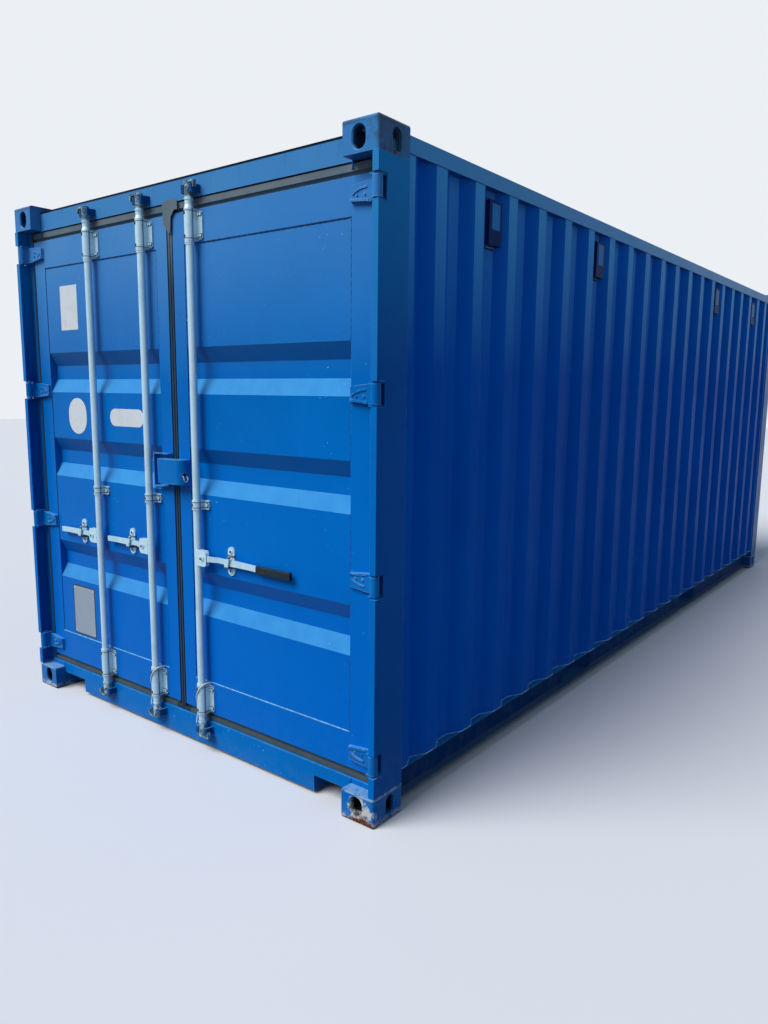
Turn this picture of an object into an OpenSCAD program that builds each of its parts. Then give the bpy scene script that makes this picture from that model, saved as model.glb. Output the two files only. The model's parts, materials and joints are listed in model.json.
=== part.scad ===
// Twenty foot steel dry-cargo shipping container with double end doors
// X runs along the length, the doors are at the low X end, Z is up.
// The origin is on the ground at the middle of the base.

/* [Overall] */
// Outside length over the corner castings
length = 6058; // [5000:1:7000]
// Outside width over the corner castings
width = 2438; // [2300:1:2600]
// Outside height over the corner castings
height = 2591; // [2400:1:2900]

/* [Corner castings] */
// Casting size along the container
cast_l = 178; // [170:1:190]
// Casting size across the container
cast_w = 162; // [155:1:170]
// Casting height
cast_h = 118; // [110:1:126]
// Length of the lifting slot, end to end
slot_l = 124; // [110:1:130]
// Width of the lifting slot
slot_w = 63.5; // [56:0.5:70]
// Height of the end and side holes
eye_h = 79.5; // [70:0.5:84]
// Width of the end hole
end_eye_w = 58; // [54:0.5:66]
// Width of the side hole
side_eye_w = 51; // [40:0.5:60]
// Wall of the slotted plate
slot_wall = 28; // [20:1:32]
// Other walls of the casting
cast_wall = 16; // [12:1:24]
// Radius of the outer edges
cast_r = 13; // [6:1:16]

/* [Rear posts] */
// Plate of the outer post section
post_t = 6; // [4:0.5:10]
// Width of the lip on the end plane
post_lip = 27; // [20:1:34]
// Wall of the inner channel
channel_t = 12; // [8:1:16]
// Width of the post section beside the doorway
post_w = 49; // [44:1:70]
// Set-back of the inner channel behind the end plane
channel_back = 65; // [62:1:75]

/* [Header and sill] */
// Set-back of the header and sill faces behind the end plane
face_back = 57; // [40:1:60]
// Plate of the header and sill
face_t = 4.5; // [3:0.5:8]
// Depth of the header and sill sections
face_depth = 112; // [90:1:118]
// Top of the header below the top of the castings
header_drop = 27; // [20:1:40]
// Lower edge of the header face below the top of the castings
head_gap = 121; // [119:1:130]
// Top of the doorway below that edge
way_drop = 29; // [20:1:40]
// Top edge of the sill face
sill_top = 140; // [120:1:150]
// Underside of the base frame
base_z = 17; // [12:1:30]
// Width of the recess beside each bottom casting
sill_recess_w = 200; // [150:1:240]
// Top edge of that recess
sill_recess_z = 86; // [70:1:100]

/* [Side walls] */
// Inset of the rails and walls from the side plane
rail_inset = 6; // [4:1:12]
// Side wall sheet
wall_t = 1.6; // [1.6:0.2:3]
// Pitch of the side wall corrugations
wall_pitch = 277.6; // [260:0.2:290]
// Width of each outer flat
wall_outer = 72; // [60:1:80]
// Width of each inner flat
wall_inner = 70; // [60:1:80]
// Depth of the side wall corrugations
wall_depth = 36; // [30:1:40]

/* [Rails] */
// Height and depth of the top side rail
top_rail = 60; // [50:1:70]
// Wall of the top rails
rail_t = 3; // [2:0.5:5]
// Top of the top side rail below the top of the castings
rail_drop = 30; // [26:1:40]
// Lower edge of the bottom side rail
low_rail_z = 34; // [28:1:40]
// Height of the bottom side rail
low_rail_h = 143; // [140:1:150]
// Width of its top flange
low_flange = 60; // [50:1:66]
// Width of its bottom flange
low_lip = 32; // [24:1:40]
// Plate of the bottom side rail
low_rail_t = 4.5; // [3:0.5:6]

/* [Base] */
// Height of the cross members
cross_h = 122; // [110:1:125]
// Flange width of the cross members
cross_w = 45; // [40:1:60]
// Plate of the cross members
cross_t = 4; // [3:0.5:6]
// Cross members in each outer bay
cross_outer_n = 6; // [4:1:6]
// Cross members between the lifting pockets
cross_mid_n = 6; // [4:1:6]
// Spacing of the lifting pockets
fork_gap = 2085; // [1950:5:2100]
// Clear width of a lifting pocket
fork_w = 360; // [300:5:370]
// Clear height of a lifting pocket
fork_h = 100; // [90:1:104]
// Floor board thickness
floor_t = 28; // [20:1:30]

/* [Front end] */
// Inset of the front wall behind the front plane
front_inset = 14; // [8:1:30]
// Front wall sheet
front_t = 2; // [1.6:0.2:3]
// Pitch of the front wall corrugations
front_pitch = 250; // [230:1:270]
// Outer flat of the front wall
front_outer = 110; // [90:1:120]
// Inner flat of the front wall
front_inner = 104; // [90:1:110]
// Depth of the front wall corrugations
front_depth = 45; // [36:1:50]
// Front post width across the container
front_post_w = 136; // [110:1:150]

/* [Roof] */
// Roof sheet
roof_t = 2; // [1.6:0.2:3]
// Pitch of the roof corrugations
roof_pitch = 209; // [190:1:230]
// Flat on top of each roof corrugation
roof_flat = 91; // [80:1:100]
// Height of the roof corrugations
roof_rise = 20; // [14:1:24]
// Flat margin of the roof beside the corrugations
roof_margin = 95; // [70:1:140]
// Flat margin of the roof at each end
roof_end = 200; // [120:1:260]

/* [Door leaves] */
// Set-back of the door faces behind the end plane
door_back = 61; // [60:1:64]
// Thickness of a door leaf
leaf_t = 50; // [40:1:56]
// Gap between the door edge and the doorway side
leaf_gap = 27; // [24:1:34]
// Half of the gap between the two door frames
seam_half = 22; // [18:1:26]
// Lower edge of the door frames
leaf_low = 180; // [176:1:190]
// Upper edge of the door frames below the header face
leaf_drop = 48; // [44:1:60]
// Outer stile of the door frame
stile_out = 95; // [80:1:110]
// Inner stile of the door frame
stile_in = 78; // [60:1:100]
// Upper rail of the door frame
rail_up = 138; // [120:1:160]
// Lower rail of the door frame
rail_low = 150; // [130:1:170]
// Wall of the door frame tubes
leaf_wall = 3.2; // [2.5:0.1:5]
// Door panel sheet
panel_t = 2; // [1.6:0.2:3]
// Depth of the door panel corrugations
panel_depth = 34; // [24:1:38]
// Height of the sloping faces of the door corrugations
panel_slope = 67; // [50:1:80]
// Height of the inner flat of the door corrugations
panel_flat = 70; // [50:1:90]
// Middle of the lowest door corrugation above the lower edge of the door
band_low = 566; // [520:1:600]
// Middle of the centre door corrugation above the lower edge of the door
band_mid = 1125; // [1000:1:1180]
// Middle of the highest door corrugation above the lower edge of the door
band_high = 1569; // [1500:1:1620]
// Width of the groove between the seal's lip and the door
groove_w = 17; // [12:1:19]
// Depth of that groove
groove_d = 14; // [8:1:18]

/* [Door hinges] */
// Distance of the hinge pin from the end and side planes
pin_in = 21; // [20:0.5:23]
// Hinge pin diameter
pin_d = 20; // [16:1:22]
// Outside diameter of the hinge knuckle
knuckle_d = 38; // [34:1:38]
// Height of a hinge blade at the knuckle
blade_h = 74; // [60:1:76]
// Height of a hinge blade at its tip
blade_tip_h = 54; // [40:1:60]
// Length of a hinge blade on the door
blade_l = 88; // [70:1:120]
// Thickness of a hinge blade
blade_t = 14; // [12:1:15]
// Height of the ribs on a hinge blade
rib_t = 4; // [2:0.5:6]
// Depth of the notch in the post
notch_d = 50; // [42:0.5:54]
// Height of the notch in the post
notch_h = 92; // [90:1:110]
// Radial running clearance at the pins
pin_play = 0.05; // [0.02:0.01:0.1]

/* [Locking gear] */
// Set-back of the rod axes behind the end plane
rod_back = 29; // [27:1:30]
// Outside diameter of the locking rods
rod_d = 34; // [30:1:34]
// Wall of the locking rods
rod_wall = 3.2; // [2.5:0.1:5]
// Place of the outer rod on the left door
rod_a_y = 597; // [560:1:640]
// Place of the inner rod on the left door
rod_b_y = 168; // [150:1:200]
// Place of the rod on the right door
rod_c_y = -179; // [-220:1:-160]
// Radial clearance of a rod in its brackets
rod_play = 0.6; // [0.3:0.1:1]
// Wall of the bracket sleeves
sleeve_t = 4; // [3:0.5:5]
// Reach of a bracket foot beside the rod
foot_reach = 52; // [44:1:60]
// Height of the handle axis
handle_z = 925; // [880:1:960]
// Distance of the handle pivot from the rod axis
hub_reach = 46; // [40:1:52]
// Length of a left door handle past its pivot
handle_l = 326; // [280:1:380]
// Length of the right door handle past its pivot
long_handle_l = 523; // [480:1:560]
// Depth of the handle bars
bar_h = 30; // [24:1:34]
// Thickness of the handle bars
bar_t = 10; // [8:1:12]
// Distance of a handle catch from the rod axis
catch_reach = 190; // [170:1:220]

/* [Lock box] */
// Width of the lock box on the right door
box_w = 168; // [150:1:190]
// Height of the lock box
box_h = 112; // [90:1:130]
// Depth of the lock box
box_d = 55; // [40:1:57]
// Middle height of the lock box
box_z = 1298; // [1250:1:1350]
// Plate of the lock box
box_t = 4; // [3:0.5:6]
// Radius of the lock box's bent front edge
box_r = 36; // [16:1:44]

/* [Tie ropes] */
// Diameter of the tie-back ropes
rope_d = 6; // [4:0.5:7]

/* [Hidden] */
$fn = 48;
eps = 0.01;

// Planes that the whole container is set out from
x_end = -length / 2;
x_front = length / 2;
y_side = width / 2;
x_face = x_end + face_back;
x_door = x_end + door_back;
x_leaf = x_door + leaf_t;
x_post = x_end + cast_l;
x_bay = x_front - cast_l;
x_rod = x_end + rod_back;
y_wall = y_side - rail_inset;
y_cast = y_side - cast_w;
y_way = y_side - post_w;
y_leaf = y_way - leaf_gap;
z_rail = height - rail_drop;
z_wall_top = z_rail - top_rail;
z_wall_low = low_rail_z + low_rail_h;
y_web = y_wall - low_flange;
y_floor = y_web - low_rail_t;
z_head = height - head_gap;
z_way = z_head - way_drop;
leaf_top = z_head - leaf_drop;
leaf_h = leaf_top - leaf_low;
z_cross = base_z + cross_h;
z_floor = z_cross + floor_t;

// Width of the guard plates on the roof and of the joint strip in the floor
plate_w = 300;
strip_w = 80;
fork_plate = 200;
fork_z = z_cross - cross_t - fork_h;

// Slope of the side wall folds, full folds each side of the middle one, and the vents' height
wall_slope = (wall_pitch - wall_outer - wall_inner) / 2;
wall_n = floor((x_bay - wall_inner / 2 - wall_slope * 3 - wall_outer) / wall_pitch);
vent_h = 206;
z_vent = z_wall_top - vent_h / 2 - 31;

// Hinge pin axis, and the middle heights of the four hinges of a door
x_pin = x_end + pin_in;
y_pin = y_side - pin_in;
hinge_first = leaf_low + 72;
hinge_last = leaf_top - 63;
hinge_z = [for (i = [0:3]) hinge_first + i * (hinge_last - hinge_first) / 3];
pin_r = pin_d / 2;
lug_t = (notch_h - blade_h) / 2 - 2;
lug_z = notch_h / 2 - 1;

// Set-back of the panel sheet behind the face of the door frame
panel_set = 2;

// Middle heights of the door panel corrugations
band_z = [for (z = [band_low, band_mid, band_high]) leaf_low + z];

// Locking rods: lower and upper ends, and the heights of the brackets
rod_low = sill_top - 62;
rod_high = z_head + 50;
bracket_low = [leaf_low + 5, leaf_low + 142];
bracket_mid = [leaf_low + 959, leaf_low + 1001];
bracket_high = [leaf_top - 134, leaf_top - 4];
sleeve_r = rod_d / 2 + rod_play + sleeve_t;

// Cams and keepers at the rod ends
cam_h = 38;
cam_reach = 26;
cam_t = 14;
cam_neck = 42;
cam_low_z = rod_low + 25;
cam_high_z = rod_high - 22;
keeper_w = 88;

// Handles and catches
handle_drop = 8;
grip_l = 200;
grip_h = 36;
handle_step = 18;
rivet_r = 9;
hub_h = 72;
catch_h = 128;
catch_w = 42;
x_bar = x_rod - 7;

paint = "#0064b4";
galvanised = "#b9c6c6";

// Shared shapes

module block(lo, hi) {
    translate(lo) cube(hi - lo);
}

// A copy on the left side as well as the one on the right
module both_sides() {
    children();
    mirror([0, 1, 0]) children();
}

// Flat oblong with round ends, lying along X
module oblong(l, w) {
    for (s = [-1, 1]) translate([s * (l - w) / 2, 0]) circle(d = w);
    square([l - w, w], center = true);
}

// Outline with one rounded corner at its low X, low Y corner
module one_round(l, w, r) {
    translate([r, 0]) square([l - r, w]);
    translate([0, r]) square([r, w - r]);
    translate([r, r]) circle(r = r);
}

// A sheet bent along a list of points, as one closed outline of thickness t in its second axis
module bent_sheet(points, t) {
    n = len(points);
    polygon(concat(points, [for (i = [n - 1:-1:0]) points[i] + [0, t]]));
}

// Corner castings

// One casting with its slot up, at the low X, low Y corner; arch is 1 where the arch of the side
// hole is on the slot's side
module casting(arch) {
    cavity_h = cast_h - slot_wall - cast_wall;
    eye_z = cast_wall + cavity_h / 2;
    slot_x = cast_l / 2 + 13.5;
    slot_y = cast_w / 2 + 8.5;
    side_wall = cast_wall * 1.6;
    edge_r = arch > 0 ? cast_r : cast_r * 0.7;
    difference() {
        intersection() {
            linear_extrude(cast_h) one_round(cast_l, cast_w, cast_r);
            along_y(0, cast_w) translate([0, cast_h]) mirror([0, 1])
                one_round(cast_l, cast_h, edge_r);
            rotate([90, 0, 90]) linear_extrude(cast_l) translate([0, cast_h]) mirror([0, 1])
                one_round(cast_w, cast_h, edge_r);
        }
        block([cast_wall * 1.6, cast_wall * 1.6, cast_wall],
            [cast_l - cast_wall, cast_w - cast_wall, cast_h - slot_wall]);
        translate([slot_x, slot_y, cast_h - slot_wall - 1])
            linear_extrude(slot_wall + 2) oblong(slot_l, slot_w);
        translate([-1, slot_y, eye_z]) rotate([0, 90, 0])
            linear_extrude(side_wall + 2) oblong(eye_h, end_eye_w);
        // Bevel round the end hole
        for (s = [-1, 1]) translate([-0.01, slot_y, eye_z + s * (eye_h - end_eye_w) / 2])
            rotate([0, 90, 0]) cylinder(r1 = end_eye_w / 2 + 4, r2 = end_eye_w / 2, h = 4);
        translate([0, slot_y, eye_z - (eye_h - end_eye_w) / 2]) linear_extrude(eye_h - end_eye_w)
            polygon([[-0.01, -end_eye_w / 2 - 4], [4, -end_eye_w / 2], [4, end_eye_w / 2],
                [-0.01, end_eye_w / 2 + 4]]);
        // Side hole: an arch with a flat lower end
        translate([slot_x, side_wall + 1, eye_z]) rotate([90, 0, 0])
            linear_extrude(side_wall + 2) mirror([0, arch < 0 ? 1 : 0]) {
                translate([0, (eye_h - side_eye_w) / 2]) circle(d = side_eye_w);
                translate([-side_eye_w / 2, -eye_h / 2 + 8])
                    square([side_eye_w, (eye_h + eye_h - side_eye_w) / 2 - 8]);
                translate([-side_eye_w / 2 + 8, -eye_h / 2]) square([side_eye_w - 16, 12]);
                for (s = [-1, 1]) translate([s * (side_eye_w / 2 - 8), -eye_h / 2 + 8]) circle(r = 8);
            }
    }
}

module four_castings(arch) {
    for (sx = [0, 1]) for (sy = [0, 1])
        mirror([sx, 0, 0]) mirror([0, sy, 0]) translate([x_end, -y_side, 0]) casting(arch);
}

module top_corner_castings() {
    color(paint) translate([0, 0, height - cast_h]) four_castings(1);
}

module bottom_corner_castings() {
    color(paint) translate([0, 0, cast_h]) mirror([0, 0, 1]) four_castings(-1);
}

// Rear posts

module hinge_lug(z) {
    inset = post_t + 1.5;
    translate([0, 0, z]) linear_extrude(lug_t) difference() {
        translate([x_end + inset, -y_side + inset])
            square([channel_back - inset + 2, y_side - y_way - inset - 4]);
        translate([x_pin, -y_pin]) circle(r = pin_r);
    }
}

module rear_post() {
    z0 = cast_h;
    z1 = height - cast_h;
    difference() {
        union() {
            // Outer section: lip, side plate and rear flange
            translate([0, 0, z0]) linear_extrude(z1 - z0) difference() {
                translate([x_end, -y_side]) square([cast_l, y_side - y_way]);
                translate([x_end + post_t, -y_side + post_t])
                    square([cast_l - post_t * 2, y_side - y_way]);
                translate([x_end - 1, -y_side + post_lip]) square([post_t + 2, y_side]);
            }
            // Inner channel, open towards the side plate
            translate([0, 0, z0]) linear_extrude(z1 - z0) difference() {
                translate([x_end + channel_back, -y_side + post_t])
                    square([cast_l - channel_back - post_t, y_side - y_way - post_t]);
                translate([x_end + channel_back + channel_t, -y_side + post_t])
                    square([cast_l - channel_back - post_t - channel_t * 2,
                        y_side - y_way - post_t - channel_t]);
            }
        }
        for (z = hinge_z)
            block([x_end - 1, -y_side - 1, z - notch_h / 2],
                [x_end + notch_d, -y_side + post_lip + 1, z + notch_h / 2]);
    }
    for (z = hinge_z) {
        hinge_lug(z + lug_z - lug_t);
        hinge_lug(z - lug_z);
    }
}

module rear_post_right() {
    color(paint) rear_post();
}

module rear_post_left() {
    color(paint) mirror([0, 1, 0]) rear_post();
}

// Header, sill and front frame

module along_y(y0, y1) {
    translate([0, y1, 0]) rotate([90, 0, 0]) linear_extrude(y1 - y0) children();
}

module door_header() {
    z_top = height - header_drop;
    x_step = x_leaf + 6;
    x_back = x_face + face_depth;
    color(paint) {
        along_y(-y_cast, y_cast) difference() {
            polygon([[x_face, z_head], [x_face, z_top], [x_back, z_top],
                [x_back, z_way], [x_step, z_way], [x_step, z_head]]);
            polygon([[x_face + face_t, z_head + face_t], [x_face + face_t, z_top - face_t],
                [x_back - face_t, z_top - face_t], [x_back - face_t, z_way + face_t],
                [x_step + face_t, z_way + face_t], [x_step + face_t, z_head + face_t]]);
        }
        both_sides() block([x_step, y_cast, z_way], [x_back, y_way, height - cast_h]);
    }
}

module door_sill() {
    x_back = x_face + face_depth;
    x_step = x_leaf + 6;
    color(paint) {
        difference() {
            along_y(-y_cast, y_cast) difference() {
                polygon([[x_face, base_z], [x_face, sill_top], [x_step, sill_top + 6],
                    [x_step, z_floor], [x_back, z_floor], [x_back, base_z]]);
                polygon([[x_face + face_t, base_z - 1], [x_face + face_t, sill_top - face_t],
                    [x_step + face_t, sill_top + 6 - face_t], [x_step + face_t, z_floor - face_t],
                    [x_back - face_t, z_floor - face_t], [x_back - face_t, base_z - 1]]);
            }
            both_sides() block([x_face - 1, y_cast - sill_recess_w, base_z - 1],
                [x_face + face_t + 1, y_cast + 1, sill_recess_z]);
        }
        // Cheek that closes the section beside each recess
        both_sides() block([x_face + face_t - 1, y_cast - sill_recess_w - 6, base_z],
            [x_back - face_t + 1, y_cast - sill_recess_w, sill_top - face_t + 1]);
        both_sides() along_y(y_cast, y_way)
            polygon([[x_face, cast_h], [x_face, sill_top], [x_step, sill_top + 6],
                [x_step, z_floor], [x_back, z_floor], [x_back, cast_h]]);
    }
}

module front_posts() {
    z0 = cast_h;
    w = front_post_w;
    x1 = x_front - 6;
    outer = [[x_bay, y_side], [x1, y_side], [x1, y_side - w], [x1 - 52, y_side - w],
        [x1 - 60, y_side - 62], [x_bay, y_side - 50]];
    inner = [[x_bay + post_t, y_side - post_t], [x1 - post_t, y_side - post_t],
        [x1 - post_t, y_side - w + post_t], [x1 - 47, y_side - w + post_t],
        [x1 - 55, y_side - 56], [x_bay + post_t, y_side - 44]];
    color(paint) both_sides() translate([0, 0, z0]) linear_extrude(height - cast_h * 2)
        difference() {
            polygon(outer);
            polygon(inner);
        }
}

module front_top_rail() {
    x1 = x_front - front_inset;
    color(paint) along_y(-y_cast, y_cast) difference() {
        translate([x1 - top_rail, z_wall_top]) square([top_rail, top_rail]);
        translate([x1 - top_rail + rail_t, z_wall_top + rail_t])
            square([top_rail - rail_t * 2, top_rail - rail_t * 2]);
    }
}

module front_sill() {
    x1 = x_front - front_inset;
    x0 = x1 - 60;
    color(paint) {
        along_y(-y_cast, y_cast) difference() {
            translate([x0, base_z]) square([x1 - x0, z_floor - base_z]);
            translate([x0 + face_t, base_z - 1])
                square([x1 - x0 - face_t * 2, z_floor - base_z + 1 - face_t]);
        }
        both_sides() block([x0, y_cast, cast_h], [x1, y_side - front_post_w, z_floor]);
    }
}

// Side rails

module top_side_rails() {
    color(paint) both_sides() difference() {
        block([x_post, y_wall - top_rail, z_wall_top], [x_bay, y_wall, z_rail]);
        block([x_post - 1, y_wall - top_rail + rail_t, z_wall_top + rail_t],
            [x_bay + 1, y_wall - rail_t, z_rail - rail_t]);
    }
}

// Bottom rail on the left side, a channel open outwards with the lifting pocket cut through
module bottom_side_rail() {
    lower = low_rail_z + low_rail_t;
    difference() {
        translate([x_post, 0, 0]) rotate([90, 0, 90]) linear_extrude(x_bay - x_post)
            polygon([[y_floor, low_rail_z], [y_web + low_lip, low_rail_z], [y_web + low_lip, lower],
                [y_web, lower], [y_web, z_wall_low - low_rail_t],
                [y_wall, z_wall_low - low_rail_t], [y_wall, z_wall_low], [y_floor, z_wall_low]]);
        for (s = [-1, 1])
            block([s * fork_gap / 2 - fork_w / 2, y_floor - 1, lower],
                [s * fork_gap / 2 + fork_w / 2, y_web + 1, fork_z + fork_h]);
    }
}

module bottom_side_rail_left() {
    color(paint) bottom_side_rail();
}

module bottom_side_rail_right() {
    color(paint) mirror([0, 1, 0]) bottom_side_rail();
}

// Corrugated walls

// Points of the side wall's outer surface: end flats, one narrow fold at each end and full folds
function wall_points() =
    let (slope = wall_slope,
        half = wall_inner / 2,
        reach = wall_n * wall_pitch + half + slope,
        fold = reach + wall_outer)
    concat(
        [[x_post, 0], [-fold - slope * 2, 0], [-fold - slope, wall_depth], [-fold, 0]],
        [for (k = [-wall_n:wall_n], p = [[-half - slope, 0], [-half, wall_depth],
            [half, wall_depth], [half + slope, 0]]) p + [k * wall_pitch, 0]],
        [[fold, 0], [fold + slope, wall_depth], [fold + slope * 2, 0], [x_bay, 0]]);

module side_wall() {
    translate([0, -y_wall, z_wall_low]) linear_extrude(z_wall_top - z_wall_low)
        bent_sheet(wall_points(), wall_t);
}

module side_wall_right() {
    color(paint) side_wall();
}

module side_wall_left() {
    color(paint) mirror([0, 1, 0]) side_wall();
}

module front_wall() {
    slope = (front_pitch - front_outer - front_inner) / 2;
    edge = y_side - front_post_w;
    n = floor(edge * 2 / front_pitch);
    points = concat([[-edge, 0]],
        [for (k = [0:n - 1], p = [[-front_inner / 2 - slope, 0], [-front_inner / 2, front_depth],
            [front_inner / 2, front_depth], [front_inner / 2 + slope, 0]])
            p + [(k - (n - 1) / 2) * front_pitch, 0]],
        [[edge, 0]]);
    color(paint) difference() {
        translate([x_front - front_inset, 0, z_floor]) rotate([0, 0, 90])
            linear_extrude(z_wall_top - z_floor) bent_sheet(points, front_t);
        both_sides() block([x_bay, y_cast, height - cast_h], [x_front, y_side, height]);
    }
}

// Roof

function roof_points(x0, n) =
    let (slope = (roof_pitch - roof_flat * 2) / 2)
    [for (k = [0:n - 1], p = [[roof_flat / 2, 0], [roof_flat / 2 + slope, roof_rise],
        [roof_flat * 1.5 + slope, roof_rise], [roof_flat * 1.5 + slope * 2, 0]])
        p + [x0 + k * roof_pitch, 0]];

module roof_panel() {
    x0 = x_face + face_depth;
    x1 = x_front - front_inset - top_rail;
    n = floor((x1 - x0 - roof_end * 2) / roof_pitch);
    first = (x0 + x1 - n * roof_pitch) / 2 - roof_flat / 2;
    points = roof_points(first, n);
    y_edge = y_wall - top_rail + 12;
    y_fold = y_edge - roof_margin;
    color(paint) translate([0, 0, z_rail]) difference() {
        union() {
            along_y(-y_fold, y_fold)
                bent_sheet(concat([[x0, 0]], points, [[x1 + 6, 0]]), roof_t);
            both_sides() {
                // Flat margin on the rail, and the closed ends of the corrugations
                block([x0, y_fold, 0], [x1 + 6, y_edge, roof_t]);
                along_y(y_fold - roof_t, y_fold) for (k = [0:n - 1])
                    polygon([for (i = [0:3]) points[k * 4 + i] + [0, roof_t / 2]]);
            }
        }
        both_sides() {
            block([x0 - 1, y_cast, -1], [x_post, y_side, roof_rise * 2]);
            block([x_bay, y_cast, -1], [x_front, y_side, roof_rise * 2]);
        }
    }
}

// Plates that guard the roof beside the top castings
module roof_corner_plates() {
    l = roof_end + 40;
    y1 = y_wall - top_rail + 12;
    color(paint) translate([0, 0, z_rail + roof_t]) both_sides() {
        block([x_post, y1 - plate_w, 0], [x_post + l, y1, 3]);
        block([x_bay - l, y1 - plate_w, 0], [x_bay, y1, 3]);
    }
}

// Base frame and floor

module cross_member(x) {
    along_y(-y_floor, y_floor) translate([x, base_z]) difference() {
        square([cross_w, cross_h]);
        translate([cross_t, cross_t]) square([cross_w, cross_h - cross_t * 2]);
    }
}

module cross_members() {
    fork_edge = fork_gap / 2 + fork_w / 2 + cross_w;
    x_first = x_face + face_depth + 60;
    outer_step = (-fork_edge - 40 - x_first) / cross_outer_n;
    mid = fork_gap / 2 - fork_w / 2 - cross_w;
    mid_step = (mid * 2 - 80) / cross_mid_n;
    color(paint) {
        for (i = [0:cross_outer_n - 1]) {
            cross_member(x_first + i * outer_step);
            mirror([1, 0, 0]) cross_member(x_first + i * outer_step);
        }
        for (i = [1:cross_mid_n]) cross_member(-mid + (i - 0.5) * mid_step + 18);
    }
}

module forklift_pockets() {
    y1 = y_floor;
    color(paint) for (s = [-1, 1]) translate([s * fork_gap / 2, 0, 0]) {
        // Two side channels with their flanges outwards, and the top plate between them
        for (e = [0, 1]) mirror([e, 0, 0]) cross_member(fork_w / 2);
        block([-fork_w / 2, -y1, z_cross - cross_t], [fork_w / 2, y1, z_cross]);
        both_sides() block([-fork_w / 2, y1 - fork_plate, base_z], [fork_w / 2, y1, base_z + 9]);
    }
}

module floor_boards() {
    x0 = x_face + face_depth;
    x1 = x_front - front_inset - 60;
    strip = strip_w / 2;
    color("#8a6b48") {
        both_sides() block([x0, strip, z_cross], [x1, y_floor, z_floor]);
        block([x0, -strip + 1, z_cross], [x1, strip - 1, z_floor]);
    }
}

// Side vents: shallow covers in the folds of both walls

module vent() {
    w = wall_inner + wall_slope / 2;
    y_bend = wall_depth * (1 - (w - wall_inner) / 2 / wall_slope);
    fit = 0.1;
    outer = [[-wall_inner / 2 + fit, wall_depth], [-w / 2 + fit, y_bend], [-w / 2, 6],
        [w / 2, 6], [w / 2 - fit, y_bend], [wall_inner / 2 - fit, wall_depth]];
    inner = [[-wall_inner / 2 + 4, wall_depth + 1], [-w / 2 + 3, y_bend], [-w / 2 + 3, 9],
        [w / 2 - 3, 9], [w / 2 - 3, y_bend], [wall_inner / 2 - 4, wall_depth + 1]];
    translate([0, 0, -vent_h / 2]) {
        translate([0, 0, 14]) linear_extrude(vent_h - 28) difference() {
            polygon(outer);
            polygon(inner);
        }
        // End flanges with their fixings
        for (z = [0, vent_h - 16]) {
            translate([-wall_inner / 2 + fit, wall_depth - 4, z])
                cube([wall_inner - fit * 2, 4, 16]);
            for (x = [-wall_inner / 3, wall_inner / 3])
                translate([x, wall_depth - 4, z + 7]) rotate([90, 0, 0]) cylinder(r = 4, h = 2.5);
        }
    }
}

module side_vents() {
    near = floor(wall_n / 2);
    color(paint) both_sides() for (k = [-wall_n + 1, -near, near, wall_n - 1])
        translate([k * wall_pitch, -y_wall, z_vent]) vent();
}

// Hinges

module hinge_pins() {
    color(paint) both_sides() for (z = hinge_z) translate([x_pin, y_pin, z]) {
        translate([0, 0, -lug_z - 8]) cylinder(r = pin_r, h = lug_z * 2 + 8);
        translate([0, 0, lug_z]) cylinder(r = pin_r + 4, h = 6);
    }
}

// Plan of a hinge blade about its pin: the door lies at positive Y and behind the pin
module blade_plan() {
    f = door_back - pin_in;
    leaf = y_pin - y_leaf;
    difference() {
        union() {
            circle(d = knuckle_d);
            polygon([[8, 17], [24, 22], [f - blade_t, 30], [f - blade_t, leaf + blade_l],
                [f, leaf + blade_l + 6], [f, leaf - 6], [f - 2, 30], [f - 6, 12], [16, -10]]);
        }
        circle(r = pin_r + pin_play);
    }
}

// Side view of a blade, along Y and Z, that tapers to its tip
module blade_side() {
    leaf = y_pin - y_leaf;
    polygon([[-knuckle_d, -blade_h / 2], [leaf, -blade_h / 2],
        [leaf + blade_l + 6, -blade_tip_h / 2], [leaf + blade_l + 6, blade_tip_h / 2],
        [leaf, blade_h / 2], [-knuckle_d, blade_h / 2]]);
}

// Ribs on a blade: a ledge along its lower edge, a curved ridge and two fixings
module blade_ribs() {
    leaf = y_pin - y_leaf;
    y1 = leaf + blade_l;
    low = blade_h / 2;
    tip = blade_tip_h / 2;
    translate([door_back - pin_in - blade_t - rib_t, 0, 0]) rotate([90, 0, 90]) {
        linear_extrude(rib_t + 1) {
            polygon([[leaf + 4, -low + 1], [y1, -tip + 0.5], [y1, -tip + 8], [leaf + 4, -low + 9]]);
            intersection() {
                difference() {
                    translate([leaf + 12, -106]) circle(r = 124);
                    translate([leaf + 12, -106]) circle(r = 118);
                }
                translate([leaf + 12, -tip]) square([blade_l - 22, tip * 2]);
            }
        }
        linear_extrude(rib_t + 1) for (y = [leaf + 22, leaf + 58]) translate([y, -9]) circle(r = 5);
    }
}

module door_hinges() {
    for (i = [0:3]) translate([x_pin, -y_pin, hinge_z[i]]) mirror([0, 0, i < 2 ? 1 : 0]) {
        intersection() {
            translate([0, 0, -blade_h]) linear_extrude(blade_h * 2) blade_plan();
            translate([-100, 0, 0]) rotate([90, 0, 90]) linear_extrude(200) blade_side();
        }
        blade_ribs();
    }
}

// Door leaves, drawn on the right door

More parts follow.
